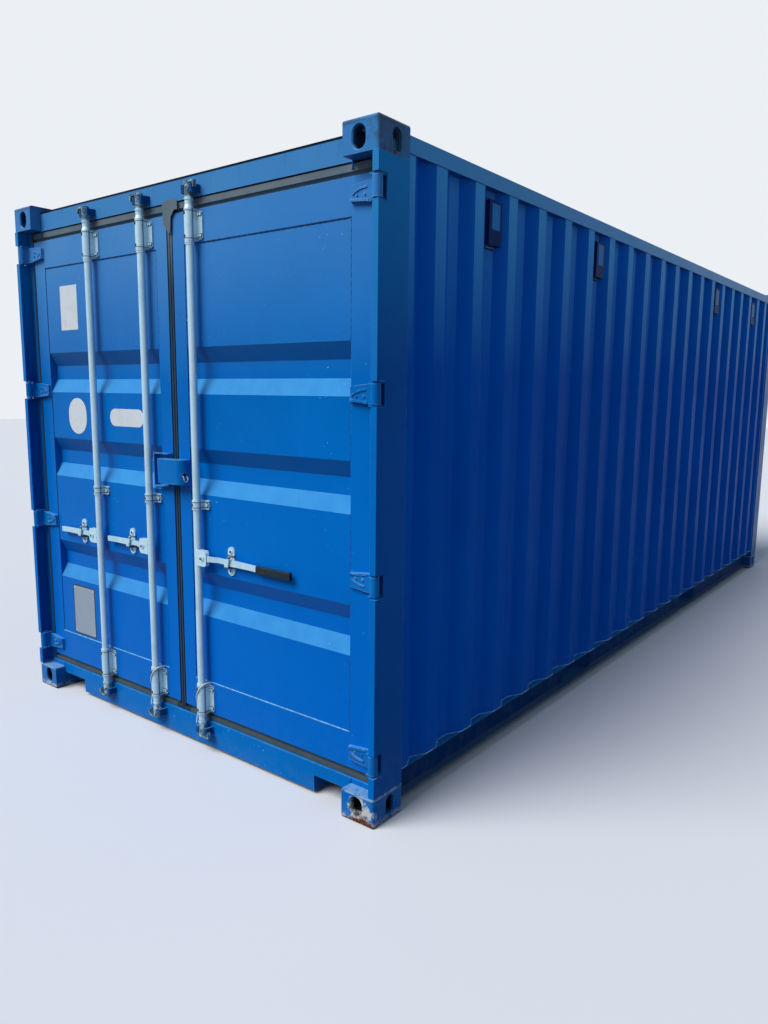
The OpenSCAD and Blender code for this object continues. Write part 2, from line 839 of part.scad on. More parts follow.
module door_frame() {
    difference() {
        block([x_door, -y_leaf, leaf_low], [x_leaf, -seam_half, leaf_top]);
        block([x_door - 1, -y_leaf + stile_out, leaf_low + rail_low],
            [x_leaf + 1, -seam_half - stile_in, leaf_top - rail_up]);
        // Hollow of each tube
        block([x_door + leaf_wall, -y_leaf + leaf_wall, leaf_low + leaf_wall],
            [x_leaf - leaf_wall, -y_leaf + stile_out - leaf_wall, leaf_top - leaf_wall]);
        block([x_door + leaf_wall, -seam_half - stile_in + leaf_wall, leaf_low + leaf_wall],
            [x_leaf - leaf_wall, -seam_half - leaf_wall, leaf_top - leaf_wall]);
        block([x_door + leaf_wall, -y_leaf + stile_out, leaf_low + leaf_wall],
            [x_leaf - leaf_wall, -seam_half - stile_in, leaf_low + rail_low - leaf_wall]);
        block([x_door + leaf_wall, -y_leaf + stile_out, leaf_top - rail_up + leaf_wall],
            [x_leaf - leaf_wall, -seam_half - stile_in, leaf_top - leaf_wall]);
    }
}

module door_panel() {
    half = panel_flat / 2;
    points = concat([[leaf_low + rail_low, 0]],
        [for (z = band_z, p = [[-half - panel_slope, 0], [-half, panel_depth],
            [half, panel_depth], [half + panel_slope, 0]]) p + [z, 0]],
        [[leaf_top - rail_up, 0]]);
    y0 = -y_leaf + stile_out;
    y1 = -seam_half - stile_in;
    translate([x_door + panel_set, y1, 0]) rotate([90, 0, 0]) linear_extrude(y1 - y0)
        mirror([1, -1]) bent_sheet(points, panel_t);
}

// Ring round a leaf: thickness from x0 to x1, reaching out by side, top, low and seam
module gasket_ring(x0, x1, side, top, low, seam, groove, narrow) {
    difference() {
        block([x0, -y_leaf - side, leaf_low - low], [x1, -seam_half + seam, leaf_top + top]);
        block([x0 - 1, -y_leaf - narrow, leaf_low - groove],
            [x1 + 1, -seam_half + narrow, leaf_top + groove]);
    }
}

module door_gasket() {
    lip_x = x_door + 1;
    body_x = x_door + groove_d;
    side = leaf_gap - 5;
    top = z_head - leaf_top - 5.5;
    low = leaf_low - sill_top - 6;
    seam = seam_half - 2.5;
    gasket_ring(lip_x, body_x + 1, side, top, low, seam, groove_w, 8);
    gasket_ring(body_x, body_x + 8, side, top, low, seam, 0, 0);
    gasket_ring(body_x + 7, x_leaf - 8, leaf_gap - 9, z_way - leaf_top - 5,
        leaf_low - sill_top - 16, seam_half - 8, 0, 0);
}

// Flap on the right door's seal, in front of the header where the two doors meet
module seam_flap() {
    y0 = -72;
    y1 = 32;
    z0 = leaf_top + groove_w - 4;
    z1 = z_head + 9;
    x0 = x_face - 7.5;
    translate([x0, 0, 0]) rotate([90, 0, 90]) linear_extrude(2.5) {
        translate([y0, z0]) square([y1 - y0, z1 - z0 - 20]);
        translate([y0 + 20, z0]) square([y1 - y0 - 40, z1 - z0]);
        for (y = [y0 + 20, y1 - 20]) translate([y, z1 - 20]) circle(r = 20);
        // Tongue that hangs over the seam
        polygon([[y1 - 3, z0 + 1], [y1 - 5, z0 - 52], [-6, z0 - 92], [-20, z0 - 92],
            [-26, z0 - 26], [-50, z0 + 1]]);
    }
    block([x0 + 1, y0 + 4, z0 + 4], [x_door + 3, -seam_half, z_head - 7]);
}

// Locking gear

// Rod bracket: a sleeve round the rod on a foot that is bolted to the door
module bracket(y, span, back, bolts) {
    foot_x = x_door - x_rod + back;
    h = span[1] - span[0];
    trim = h > 60 ? 6 : 0;
    translate([x_rod, y, span[0]]) {
        linear_extrude(h) difference() {
            union() {
                circle(r = sleeve_r);
                translate([0, -sleeve_r]) square([foot_x, sleeve_r * 2 - 6]);
            }
            circle(r = rod_d / 2 + rod_play);
        }
        // Foot plate with round corners, and its bolts
        translate([foot_x - 7 - back, -foot_reach, trim]) rotate([90, 0, 90])
            linear_extrude(7 + back) one_plate(foot_reach + 14, h - trim * 2, 8);
        for (z = bolts, y = h > 60 ? [8.5, 22] : [13])
            translate([foot_x - back - 12, -foot_reach + y, z]) rotate([0, 90, 0])
                cylinder(r = h > 60 ? 5.5 : 7.5, h = 6);
        // Pins on the sleeve
        for (z = h > 60 ? [18, h - 18] : [h / 2]) translate([-sleeve_r * 0.7 - 1, sleeve_r * 0.7, z])
            rotate([0, 90, -45]) translate([0, 0, -1.5]) cylinder(r = 4.5, h = 4);
    }
}

// Rectangle with its low corners and high corners rounded
module one_plate(l, h, r) {
    translate([r, 0]) square([l - r, h]);
    translate([0, r]) square([r, h - r * 2]);
    translate([r, r]) circle(r = r);
    translate([r, h - r]) circle(r = r);
}

module rod_brackets(y) {
    bracket(y, bracket_low, 0, [24, 112]);
    bracket(y, bracket_mid, panel_set, [21]);
    bracket(y, bracket_high, 0, [22, 108]);
}

// Cam: a collar with a nose that turns in behind the keeper on one side, and beyond the keeper
// a horn whose tip stands in front of its other side; out is 1 where the horn is above
module cam(z, side, out) {
    h = cam_h / 2;
    translate([0, 0, z]) mirror([0, side < 0 ? 1 : 0, 0]) mirror([0, 0, out < 0 ? 1 : 0]) {
        translate([0, 0, -h]) linear_extrude(cam_h) {
            circle(r = rod_d / 2 + 1);
            intersection() {
                circle(r = cam_reach);
                translate([-3, -cam_reach]) square([cam_t, cam_reach]);
            }
        }
        translate([0, 0, h - 2]) cylinder(r = rod_d / 2 + 2, h = 12);
        translate([0, 0, h + 2.5]) linear_extrude(8)
            polygon([[-15, -10], [-15, 46], [-12, 50], [0, 50], [3, 46], [3, -10]]);
        translate([-14.5, 0, 0]) rotate([90, 0, 90]) linear_extrude(15)
            polygon([[38, h + 10], [44, h + 9], [50, h + 2], [52, 10], [48, 0], [43, 2], [42, 12],
                [36, h + 4]]);
    }
}

// Locking rod with its cams and handle hub, side is 1 where the handle points to the left
module lock_rod(y, side) {
    color(galvanised) translate([x_rod, y, 0]) {
        difference() {
            union() {
                translate([0, 0, rod_low]) cylinder(d = rod_d, h = rod_high - rod_low);
                // Collars above the lower sleeve and below the upper one, and near the cams
                for (z = [bracket_low[1] + 1, bracket_high[0] - 7])
                    translate([0, 0, z]) cylinder(r = sleeve_r - 0.5, h = 6);
                for (z = [bracket_high[0] - 15, cam_low_z + cam_neck - 3, cam_high_z - cam_neck - 3])
                    translate([0, 0, z]) cylinder(r = rod_d / 2 + 3, h = 5);
                // Shoulders beyond the sleeves
                translate([0, 0, bracket_low[0] - 15])
                    cylinder(r1 = rod_d / 2, r2 = sleeve_r - 0.5, h = 14);
                translate([0, 0, bracket_high[1] + 1])
                    cylinder(r1 = sleeve_r - 0.5, r2 = rod_d / 2, h = 14);
                cam(cam_low_z, side, -1);
                cam(cam_high_z, side, 1);
            }
            translate([0, 0, rod_low + 60])
                cylinder(d = rod_d - rod_wall * 2, h = rod_high - rod_low - 120);
        }
        // Hub: two ears that hold the handle between them
        for (e = [-1, 1]) mirror([0, side < 0 ? 1 : 0, 0]) difference() {
            translate([-7 + e * (bar_t / 2 + 3) - 2, 0, handle_z]) rotate([90, 0, 90])
                linear_extrude(4) polygon([[8, -hub_h / 2], [hub_reach + 16, -hub_h / 2],
                    [hub_reach + 26, -hub_h / 2 + 10], [hub_reach + 26, hub_h / 2 - 8],
                    [hub_reach + 18, hub_h / 2], [8, hub_h / 2]]);
            translate([-30, hub_reach, handle_z]) rotate([0, 90, 0])
                cylinder(r = rivet_r + pin_play, h = 60);
            translate([0, 0, handle_z - hub_h]) cylinder(d = rod_d - 1, h = hub_h * 2);
        }
    }
}

// Handle bar on its rivet, side is 1 where it points to the left
module handle(y, side, l) {
    m = bar_h / 2;
    end = hub_reach + l;
    drop = handle_drop;
    step = handle_step;
    t = bar_t / 2;
    translate([x_bar, y, 0]) mirror([0, side < 0 ? 1 : 0, 0]) {
        // Bar: from the side it has a waist and droops to the tip, from above it steps towards
        // the door between the pivot and the catch
        intersection() {
            translate([-bar_t * 3, 0, handle_z]) rotate([90, 0, 90]) linear_extrude(bar_t * 6)
                polygon([[hub_reach - 16, -m], [hub_reach - 16, m], [hub_reach + 22, m],
                    [hub_reach + 40, m - 4], [catch_reach - 30, m - 6], [catch_reach + 20, m - 4],
                    [end - 60, m - drop + 2], [end, m - drop], [end, -m - drop + 5],
                    [end - 60, -m - drop + 7], [catch_reach + 20, -m - drop / 2 + 2],
                    [catch_reach - 30, -m + 2], [hub_reach + 40, -m + 3], [hub_reach + 22, -m]]);
            translate([0, 0, handle_z - hub_h]) linear_extrude(hub_h * 2)
                polygon([[-t, hub_reach - 20], [-t, hub_reach + 34], [step - t, catch_reach - 60],
                    [step - t, end + 5], [step + t, end + 5], [step + t, catch_reach - 60],
                    [t, hub_reach + 34], [t, hub_reach - 20]]);
        }
        translate([-bar_t / 2 - 5.5, hub_reach, handle_z]) rotate([0, 90, 0])
            cylinder(r = rivet_r, h = bar_t + 11);
        for (x = [-bar_t / 2 - 8.5, bar_t / 2 + 5.5]) translate([x, hub_reach, handle_z])
            rotate([0, 90, 0]) cylinder(r = rivet_r + 3, h = 3);
    }
}

module handle_catch(y, side) {
    z_bar = handle_z - bar_h / 2 - 3.5;
    depth = x_door - x_bar - handle_step + bar_t / 2 + 3;
    w = 11;
    translate([x_door, y, 0]) mirror([0, side < 0 ? 1 : 0, 0]) translate([0, catch_reach, 0]) {
        translate([-5, 0, handle_z]) rotate([0, 90, 0]) linear_extrude(5 + panel_set)
            oblong(catch_h, catch_w);
        for (z = [-catch_h / 2 + 21, catch_h / 2 - 21]) translate([-10, 0, handle_z + z])
            rotate([0, 90, 0]) cylinder(r = 9, h = 6);
        // Cradle under the bar, and a hook that slants up in front of it
        translate([0, w, z_bar]) rotate([90, 0, 0]) linear_extrude(w * 2)
            polygon([[-4, -24], [-4, -6], [-depth, -2], [-depth, 14], [-depth - 3, 18],
                [-depth - 7, 16], [-depth - 7, -6], [-depth + 2, -10]]);
        translate([-depth - 7, 0, z_bar]) rotate([90, 0, 90]) linear_extrude(7)
            mirror([side < 0 ? 1 : 0, 0]) polygon([[-w, -4], [w, -6], [w, 10],
                [w - 10, 30], [w - 20, 44], [w - 30, 50],
                [w - 35, 44], [w - 28, 28], [-w - 2, 12]]);
    }
}

// Lock box on the right door, and the folded plate for it on the left door

module right_lock_box() {
    y0 = -box_w + 66;
    y1 = 66;
    z0 = box_z - box_h / 2;
    z1 = box_z + box_h / 2;
    x0 = x_door - box_d;
    color(paint) {
        difference() {
            translate([x0, y0, z0]) linear_extrude(box_h) intersection() {
                one_round(box_d - 1, box_w, box_r);
                square([box_d - 1, box_w]);
            }
            translate([x0 + box_t, y0 + box_t, z0 - 1])
                linear_extrude(box_h + 1 - box_t) one_round(box_d, box_w - box_t * 2, box_r - box_t);
            block([x_door - 12, -seam_half + 4, z0 - 1], [x_door, y1 + 1, z1 + 1]);
            translate([x0 + box_d / 2 - 4, y0 - 1, box_z - 14]) rotate([-90, 0, 0])
                cylinder(r = 12, h = box_t + 14);
        }
        block([x_door - 1, y0, z0], [x_door, -seam_half - 6, z1]);
    }
}

module left_lock_plate() {
    y0 = 26;
    y1 = 130;
    z0 = 1222;
    z1 = 1376;
    d = 30;
    color(paint) {
        difference() {
            block([x_door - d, y0, z0], [x_door, y1, z1]);
            block([x_door - d - 1, y0 - 1, z0 + 4], [x_door - 4, y1 - 4, z1 - 4]);
        }
        block([x_door - 4, y1 - 1, z0], [x_door, y1 + 22, z1]);
    }
}

// Keepers that hold the cams, on the header and the sill

// Two cheeks welded to the frame, each with a lip in front of the cam's nose
module keeper(y, z) {
    h = cam_h - 6;
    x0 = x_rod - 13;
    lip = 8;
    translate([0, y, z - h / 2]) both_sides() linear_extrude(h) polygon([[x0, 19.5],
        [x0 + lip, 19.5], [x0 + lip, 30], [x_face, 33], [x_face, keeper_w / 2],
        [x0 + 8, 38], [x0, 34]]);
}

module cam_keepers() {
    color(paint) for (y = [rod_a_y, rod_b_y, rod_c_y])
        for (z = [cam_low_z, cam_high_z]) keeper(y, z);
}

// Tie-back ropes: hand-chosen points from the rod axis at the top of its lower bracket

rope_points = [[26, -33, 4], [18, -35, 11], [6, -33, 13], [-8, -26, 8], [-18, -18, -2],
    [-23, -11, -13], [-25, -2, -28], [-24, 8, -43], [-20, 16, -58], [-14, 21, -72],
    [-9, 23.5, -86], [-8, 24, -104], [-8, 24, -122], [-8, 24, -138], [-10, 25, -156],
    [-13, 26, -174], [-15, 25, -188]];

function unit(v) = v / norm(v);

module tube_along(points, d, sides) {
    n = len(points);
    rings = [for (i = [0:n - 1])
        let (t = unit(points[min(i + 1, n - 1)] - points[max(i - 1, 0)]),
            u = unit(cross(t, [0.3, 1, 0])),
            v = cross(t, u))
        for (k = [0:sides - 1])
            points[i] + d / 2 * (cos(k * 360 / sides) * u + sin(k * 360 / sides) * v)];
    faces = concat(
        [[for (k = [0:sides - 1]) k]],
        [for (i = [0:n - 2], k = [0:sides - 1])
            [i * sides + k, (i + 1) * sides + k, (i + 1) * sides + (k + 1) % sides,
                i * sides + (k + 1) % sides]],
        [[for (k = [sides - 1:-1:0]) (n - 1) * sides + k]]);
    polyhedron(rings, faces);
}

module tie_rope(y) {
    color("white") translate([x_rod, y, bracket_low[1]]) tube_along(rope_points, rope_d, 8);
}

module tie_rope_right() { tie_rope(rod_c_y); }
module tie_rope_left() { tie_rope(rod_b_y); }

// Doors as built on each side

module right_door_frame() { color(paint) door_frame(); }
module right_door_panel() { color(paint) door_panel(); }
module right_door_gasket() {
    color("#3a3633") {
        door_gasket();
        seam_flap();
    }
}
module right_door_hinges() { color(paint) door_hinges(); }
module right_rod_brackets() { color(galvanised) rod_brackets(rod_c_y); }
module right_handle_catch() { color(galvanised) handle_catch(rod_c_y, -1); }
module left_door_frame() { color(paint) mirror([0, 1, 0]) door_frame(); }
module left_door_panel() { color(paint) mirror([0, 1, 0]) door_panel(); }
module left_door_gasket() { color("#3a3633") mirror([0, 1, 0]) door_gasket(); }
module left_door_hinges() { color(paint) mirror([0, 1, 0]) door_hinges(); }
module left_rod_brackets() { color(galvanised) for (y = [rod_a_y, rod_b_y]) rod_brackets(y); }
module left_handle_catches() { color(galvanised) for (y = [rod_a_y, rod_b_y]) handle_catch(y, 1); }
module lock_rod_a() { lock_rod(rod_a_y, 1); }
module lock_rod_b() { lock_rod(rod_b_y, 1); }
module lock_rod_c() { lock_rod(rod_c_y, -1); }
module handle_a() { color(galvanised) handle(rod_a_y, 1, handle_l); }
module handle_b() { color(galvanised) handle(rod_b_y, 1, handle_l); }
module handle_c() { color(galvanised) handle(rod_c_y, -1, long_handle_l - grip_l); }

module handle_grip() {
    z_mid = handle_z - handle_drop;
    color("#1c1c1c") translate([x_bar + handle_step, rod_c_y - hub_reach - long_handle_l, z_mid])
        rotate([-90, 0, 0]) linear_extrude(grip_l) oblong_grip();
}

module oblong_grip() {
    rotate(90) oblong(grip_h, bar_t + 6);
}

top_corner_castings();
bottom_corner_castings();
rear_post_left();
rear_post_right();
front_posts();
door_header();
door_sill();
front_top_rail();
front_sill();
top_side_rails();
bottom_side_rail_left();
bottom_side_rail_right();
side_wall_left();
side_wall_right();
front_wall();
roof_panel();
roof_corner_plates();
cross_members();
forklift_pockets();
floor_boards();
side_vents();
hinge_pins();
cam_keepers();
left_door_frame();
left_door_panel();
left_door_gasket();
left_door_hinges();
left_rod_brackets();
left_handle_catches();
left_lock_plate();
right_door_frame();
right_door_panel();
right_door_gasket();
right_door_hinges();
right_rod_brackets();
right_handle_catch();
right_lock_box();
lock_rod_a();
lock_rod_b();
lock_rod_c();
handle_a();
handle_b();
handle_c();
handle_grip();
tie_rope_left();
tie_rope_right();
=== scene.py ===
"""Looks of a twenty foot shipping container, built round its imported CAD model.

Everything is in metres in the frame of the CAD model: X along the container with the doors at
low X, Z up from the ground. The CAD nodes keep their shapes and get procedural finishes here;
small things such as weld seams, bare plates and the tie ropes are modelled on top of them.
"""

import json
import math
import random

import bpy
from mathutils import Matrix, Vector


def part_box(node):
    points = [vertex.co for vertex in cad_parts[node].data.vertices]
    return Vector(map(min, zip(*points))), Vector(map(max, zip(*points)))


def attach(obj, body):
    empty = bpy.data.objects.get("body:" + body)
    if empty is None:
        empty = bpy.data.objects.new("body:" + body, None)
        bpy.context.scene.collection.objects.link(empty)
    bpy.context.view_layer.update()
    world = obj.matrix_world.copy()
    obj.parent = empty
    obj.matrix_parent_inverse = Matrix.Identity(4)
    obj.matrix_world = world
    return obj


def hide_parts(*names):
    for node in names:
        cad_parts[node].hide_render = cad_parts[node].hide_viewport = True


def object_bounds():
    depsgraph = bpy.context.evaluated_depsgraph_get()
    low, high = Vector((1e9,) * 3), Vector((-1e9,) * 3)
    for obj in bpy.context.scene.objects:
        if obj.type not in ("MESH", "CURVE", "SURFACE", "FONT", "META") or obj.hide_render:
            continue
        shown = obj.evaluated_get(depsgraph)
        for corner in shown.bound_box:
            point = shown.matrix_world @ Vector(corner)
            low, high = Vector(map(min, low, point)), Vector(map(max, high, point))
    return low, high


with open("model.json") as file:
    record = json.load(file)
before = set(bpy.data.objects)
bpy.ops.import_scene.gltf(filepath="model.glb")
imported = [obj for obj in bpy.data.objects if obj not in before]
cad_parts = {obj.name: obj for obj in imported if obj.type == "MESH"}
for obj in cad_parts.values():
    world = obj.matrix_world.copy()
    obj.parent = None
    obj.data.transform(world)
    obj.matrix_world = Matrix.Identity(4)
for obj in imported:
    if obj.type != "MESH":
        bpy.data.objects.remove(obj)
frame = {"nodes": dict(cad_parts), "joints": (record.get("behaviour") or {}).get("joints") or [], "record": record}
cad_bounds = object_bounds()
nodes = frame["nodes"]
random.seed(7)

# Places that several of the parts below share, read from the frame where it holds them

MM = 0.001
END_X, SIDE_Y, TOP_Z = (round(v, 4) for v in cad_bounds[1])
CASTING_TOP = round(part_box("bottom_corner_castings")[1].z, 4)
RAIL_TOP = round(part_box("bottom_side_rail_right")[1].z, 4)
CASTING_WIDTH = 0.162
JOINT_AT = {joint["name"]: joint["pos_m"] for joint in frame["joints"]}
ROD_X = JOINT_AT["rod_a_turn"][0]
HANDLE_X, _, HANDLE_Z = JOINT_AT["handle_a_lift"]
BRACKET_SPANS = ((0.185, 0.322), (1.139, 1.181), (2.288, 2.418))


def lin(r, g, b):
    """A colour written in 0-255 screen values, as linear light."""
    out = []
    for v in (r, g, b):
        v /= 255
        out.append(v / 12.92 if v <= 0.04045 else ((v + 0.055) / 1.055) ** 2.4)
    return (*out, 1.0)


# Camera: fitted to the photograph with the container's real outside size

CAMERA_AT = Vector((-5.18999, -2.93274, 1.66320))
CAMERA_AZIMUTH = math.radians(37.805)      # from +X towards +Y
CAMERA_ELEVATION = math.radians(-8.764)
CAMERA_ROLL = math.radians(0.574)
FOCAL_OVER_HEIGHT = 776.02 / 1024


def add_camera():
    """Stands where the photographer stood, turned by the three fitted angles."""
    level, rise = math.cos(CAMERA_ELEVATION), math.sin(CAMERA_ELEVATION)
    forward = Vector((level * math.cos(CAMERA_AZIMUTH), level * math.sin(CAMERA_AZIMUTH), rise))
    right = forward.cross(Vector((0, 0, 1))).normalized()
    up = right.cross(forward)
    c, s = math.cos(CAMERA_ROLL), math.sin(CAMERA_ROLL)
    right, up = c * right + s * up, -s * right + c * up
    data = bpy.data.cameras.new("camera")
    data.sensor_width = 24
    data.lens = FOCAL_OVER_HEIGHT * data.sensor_width
    data.clip_end = 200
    camera = bpy.data.objects.new("camera", data)
    camera.matrix_world = Matrix((
        (right.x, up.x, -forward.x, CAMERA_AT.x),
        (right.y, up.y, -forward.y, CAMERA_AT.y),
        (right.z, up.z, -forward.z, CAMERA_AT.z),
        (0, 0, 0, 1),
    ))
    bpy.context.collection.objects.link(camera)
    bpy.context.scene.camera = camera


add_camera()


# Procedural finishes

def background_rays(tree):
    """Is 1 for the rays that show the background: seen straight, in gloss and through glass."""
    path = tree.nodes.new("ShaderNodeLightPath")
    total = path.outputs["Is Camera Ray"]
    for name in ("Is Glossy Ray", "Is Transmission Ray"):
        add = tree.nodes.new("ShaderNodeMath")
        add.operation = "MAXIMUM"
        tree.links.new(total, add.inputs[0])
        tree.links.new(path.outputs[name], add.inputs[1])
        total = add.outputs[0]
    return total


class Finish:
    """A node material, with short calls for the nodes that the finishes below share."""

    def __init__(self, name):
        self.material = bpy.data.materials.new(name)
        self.material.use_nodes = True
        self.tree = self.material.node_tree
        self.tree.nodes.clear()
        self.output = self.tree.nodes.new("ShaderNodeOutputMaterial")
        self.shader = self.tree.nodes.new("ShaderNodeBsdfPrincipled")
        self.join(self.shader.outputs[0], self.output.inputs[0])
        self.place = self.tree.nodes.new("ShaderNodeTexCoord").outputs["Object"]

    def join(self, source, target):
        self.tree.links.new(source, target)

    def put(self, target, value):
        """Sets a socket, or joins it if the value comes from another node."""
        if isinstance(value, bpy.types.NodeSocket):
            self.join(value, target)
        else:
            target.default_value = value

    def set(self, **values):
        """Sets the shader's inputs, each by its name in small letters."""
        for name, value in values.items():
            self.put(self.shader.inputs[name.replace("_", " ").title()
                                        .replace("Ior", "IOR")], value)

    def stretched(self, x, y, z):
        node = self.tree.nodes.new("ShaderNodeMapping")
        self.join(self.place, node.inputs[0])
        node.inputs["Scale"].default_value = (x, y, z)
        return node.outputs[0]

    def noise(self, scale, detail=4.0, rough=0.55, at=None):
        node = self.tree.nodes.new("ShaderNodeTexNoise")
        self.join(at or self.place, node.inputs["Vector"])
        node.inputs["Scale"].default_value = scale
        node.inputs["Detail"].default_value = detail
        node.inputs["Roughness"].default_value = rough
        return node.outputs[0]

    def cells(self, scale):
        node = self.tree.nodes.new("ShaderNodeTexVoronoi")
        self.join(self.place, node.inputs["Vector"])
        node.inputs["Scale"].default_value = scale
        return node.outputs["Color"]

    def ramp(self, value, low, high, a=0.0, b=1.0):
        """Goes from a to b while the value goes from low to high, and stays flat outside."""
        node = self.tree.nodes.new("ShaderNodeMapRange")
        node.inputs["From Min"].default_value = low
        node.inputs["From Max"].default_value = high
        node.inputs["To Min"].default_value = a
        node.inputs["To Max"].default_value = b
        self.put(node.inputs["Value"], value)
        return node.outputs[0]

    def calc(self, kind, a, b=0.0):
        node = self.tree.nodes.new("ShaderNodeMath")
        node.operation = kind
        self.put(node.inputs[0], a)
        self.put(node.inputs[1], b)
        return node.outputs[0]

    def times(self, a, b):
        return self.calc("MULTIPLY", a, b)

    def most(self, a, b):
        return self.calc("MAXIMUM", a, b)

    def size(self, a):
        """The value without its sign."""
        return self.calc("ABSOLUTE", a)

    def mix(self, amount, a, b):
        node = self.tree.nodes.new("ShaderNodeMix")
        node.data_type = "RGBA"
        self.put(node.inputs[0], amount)
        self.put(node.inputs[6], a)
        self.put(node.inputs[7], b)
        return node.outputs[2]

    def axis(self, name):
        node = self.tree.nodes.new("ShaderNodeSeparateXYZ")
        self.join(self.place, node.inputs[0])
        return node.outputs[name]

    def facing(self, name):
        """Part of the surface's own direction along an axis, such as 1 on a flat top."""
        coordinates = self.tree.nodes.new("ShaderNodeTexCoord")
        node = self.tree.nodes.new("ShaderNodeSeparateXYZ")
        self.join(coordinates.outputs["Normal"], node.inputs[0])
        return node.outputs[name]

    def spot(self, at, radius, ragged):
        """Is 1 round a point of the model and ends in a ragged edge at the radius."""
        node = self.tree.nodes.new("ShaderNodeVectorMath")
        node.operation = "DISTANCE"
        self.join(self.place, node.inputs[0])
        node.inputs[1].default_value = at
        wave = self.ramp(self.noise(28, 6, 0.68), 0.3, 0.7, -radius * ragged, radius * ragged)
        return self.ramp(self.calc("ADD", node.outputs["Value"], wave), radius * 0.75, radius, 1, 0)

    def band(self, name, low, high, soft):
        """Is 1 between two places on an axis."""
        at = self.axis(name)
        return self.times(self.ramp(at, low - soft, low), self.ramp(at, high, high + soft, 1, 0))

    def edges(self, radius):
        """Is 1 along the edges of the shape."""
        bevel = self.tree.nodes.new("ShaderNodeBevel")
        bevel.samples = 4
        bevel.inputs["Radius"].default_value = radius
        geometry = self.tree.nodes.new("ShaderNodeNewGeometry")
        dot = self.tree.nodes.new("ShaderNodeVectorMath")
        dot.operation = "DOT_PRODUCT"
        self.join(bevel.outputs[0], dot.inputs[0])
        self.join(geometry.outputs["Normal"], dot.inputs[1])
        return self.ramp(dot.outputs["Value"], 0.90, 0.985, 1, 0)

    def bump(self, height, distance, strength):
        node = self.tree.nodes.new("ShaderNodeBump")
        node.inputs["Distance"].default_value = distance
        node.inputs["Strength"].default_value = strength
        self.join(height, node.inputs["Height"])
        self.join(node.outputs[0], self.shader.inputs["Normal"])


# Tones of the paint, of what wears it off or lies on it, and of painted light and shade

BLUE = lin(0, 108, 190)
BLUE_DEEP = lin(0, 97, 178)
BLUE_PALE = lin(40, 140, 208)
BLUE_POST = lin(0, 96, 186)
# A bluer copy of the paint for the side walls: painted shade colour
BLUE_WALL_SHADE = lin(0, 98, 206)
# A darker blue for the bottom rails: painted shade under their top flange
BLUE_RAIL_SHADE = lin(0, 64, 126)
CHALK = lin(170, 202, 218)
# Pale dust and a painted sky sheen on faces that look up
PALE_DUST_AND_SHEEN = lin(87, 173, 226)
# Painted shade for faces that look down
UNDERSIDE_SHADE = lin(2, 44, 96)
PRIMER = lin(206, 206, 196)
RUST = lin(112, 62, 32)
RUST_DARK = lin(60, 34, 22)
DUST = lin(128, 134, 134)
GRIME = lin(14, 34, 58)
# Paler paint high up: fading in the weather and a painted sky reflection
FADED_AND_SHEEN = lin(84, 144, 200)
BARE_SPECK = lin(168, 206, 226)
GLOSS_TINT = lin(60, 170, 255)


def painted_steel(name, tone=BLUE, deep=BLUE_DEEP, rust=0.0, dirt_height=0.35, fade_and_sheen=0.0, wear=0.25,
                  specks=0.0, top_dust_and_sheen_amount=0.45, gloss=0.07, marks=None):
    """Blue paint: colour drift, rain streaks, fading and painted sky reflection high up, dust and painted sheen on
    faces that look up, painted shade on faces that look down, chips, worn edges and rust.
    """
    f = Finish(name)
    drift = f.noise(1.3, 3)
    streaks = f.noise(1.0, 5, 0.6, f.stretched(9, 9, 0.5))
    colour = f.mix(f.ramp(drift, 0.35, 0.7), tone, deep)
    height = f.axis("Z")
    # Paler towards the top: faded paint and a painted sky reflection
    if fade_and_sheen:
        faded_and_sky_sheen = f.times(f.ramp(height, 1.7, 2.35, 0, fade_and_sheen),
                      f.ramp(f.noise(1.1, 3), 0.3, 0.7, 0.7, 1.0))
        colour = f.mix(faded_and_sky_sheen, colour, FADED_AND_SHEEN)
    colour = f.mix(f.ramp(streaks, 0.55, 0.8, 0, 0.12), colour, BLUE_PALE)
    scuffs = f.noise(7, 8, 0.7, f.stretched(1, 1, 0.35))
    colour = f.mix(f.ramp(scuffs, 0.68, 0.76, 0, 0.25), colour, BLUE_PALE)
    # Faces that look up get pale dust and a painted sheen of the sky
    top_dust_and_sheen = f.times(f.ramp(f.facing("Z"), 0.2, 0.55, 0, top_dust_and_sheen_amount),
                      f.ramp(f.noise(9, 6, 0.65), 0.3, 0.65, 0.7, 1.0))
    colour = f.mix(top_dust_and_sheen, colour, PALE_DUST_AND_SHEEN)
    # Faces that look down are painted darker as shade
    colour = f.mix(f.ramp(f.facing("Z"), -0.6, -0.2, 0.5, 0.0), colour, UNDERSIDE_SHADE)
    low = f.ramp(height, 0.0, dirt_height, 1.0, 0.0)
    grime = f.times(low, f.ramp(f.noise(14, 8, 0.65), 0.42, 0.72))
    colour = f.mix(f.times(grime, 0.22), colour, DUST)
    if specks:
        fine = f.ramp(f.noise(75, 3, 0.7), 0.715 - specks * 0.03, 0.73 - specks * 0.03)
        some = f.times(fine, f.ramp(f.noise(3.1, 3), 0.45, 0.6))
        colour = f.mix(some, colour, BARE_SPECK)
    if wear:
        rubbed = f.times(f.edges(0.004), f.ramp(f.noise(17, 6, 0.7), 0.42, 0.62, 0, wear))
        colour = f.mix(rubbed, colour, CHALK)
    chips = f.ramp(f.noise(38, 6, 0.7), 0.745 - rust * 0.06, 0.76 - rust * 0.06)
    rusted = f.times(chips, f.ramp(f.noise(2.2, 2), 0.5, 0.62))
    rusty = f.mix(f.ramp(f.noise(90, 4), 0.35, 0.65), RUST_DARK, RUST)
    if marks:
        colour, rusted = marks(f, colour, rusted)
    colour = f.mix(rusted, colour, rusty)
    rough = f.ramp(f.noise(3, 4), 0.3, 0.7, 0.26, 0.38)
    rough = f.calc("ADD", rough, f.times(rusted, 0.4))
    f.set(base_color=colour, roughness=rough, specular_ior_level=gloss, specular_tint=GLOSS_TINT)
    f.bump(f.noise(160, 3, 0.6), 0.0003, 0.35)
    return f.material
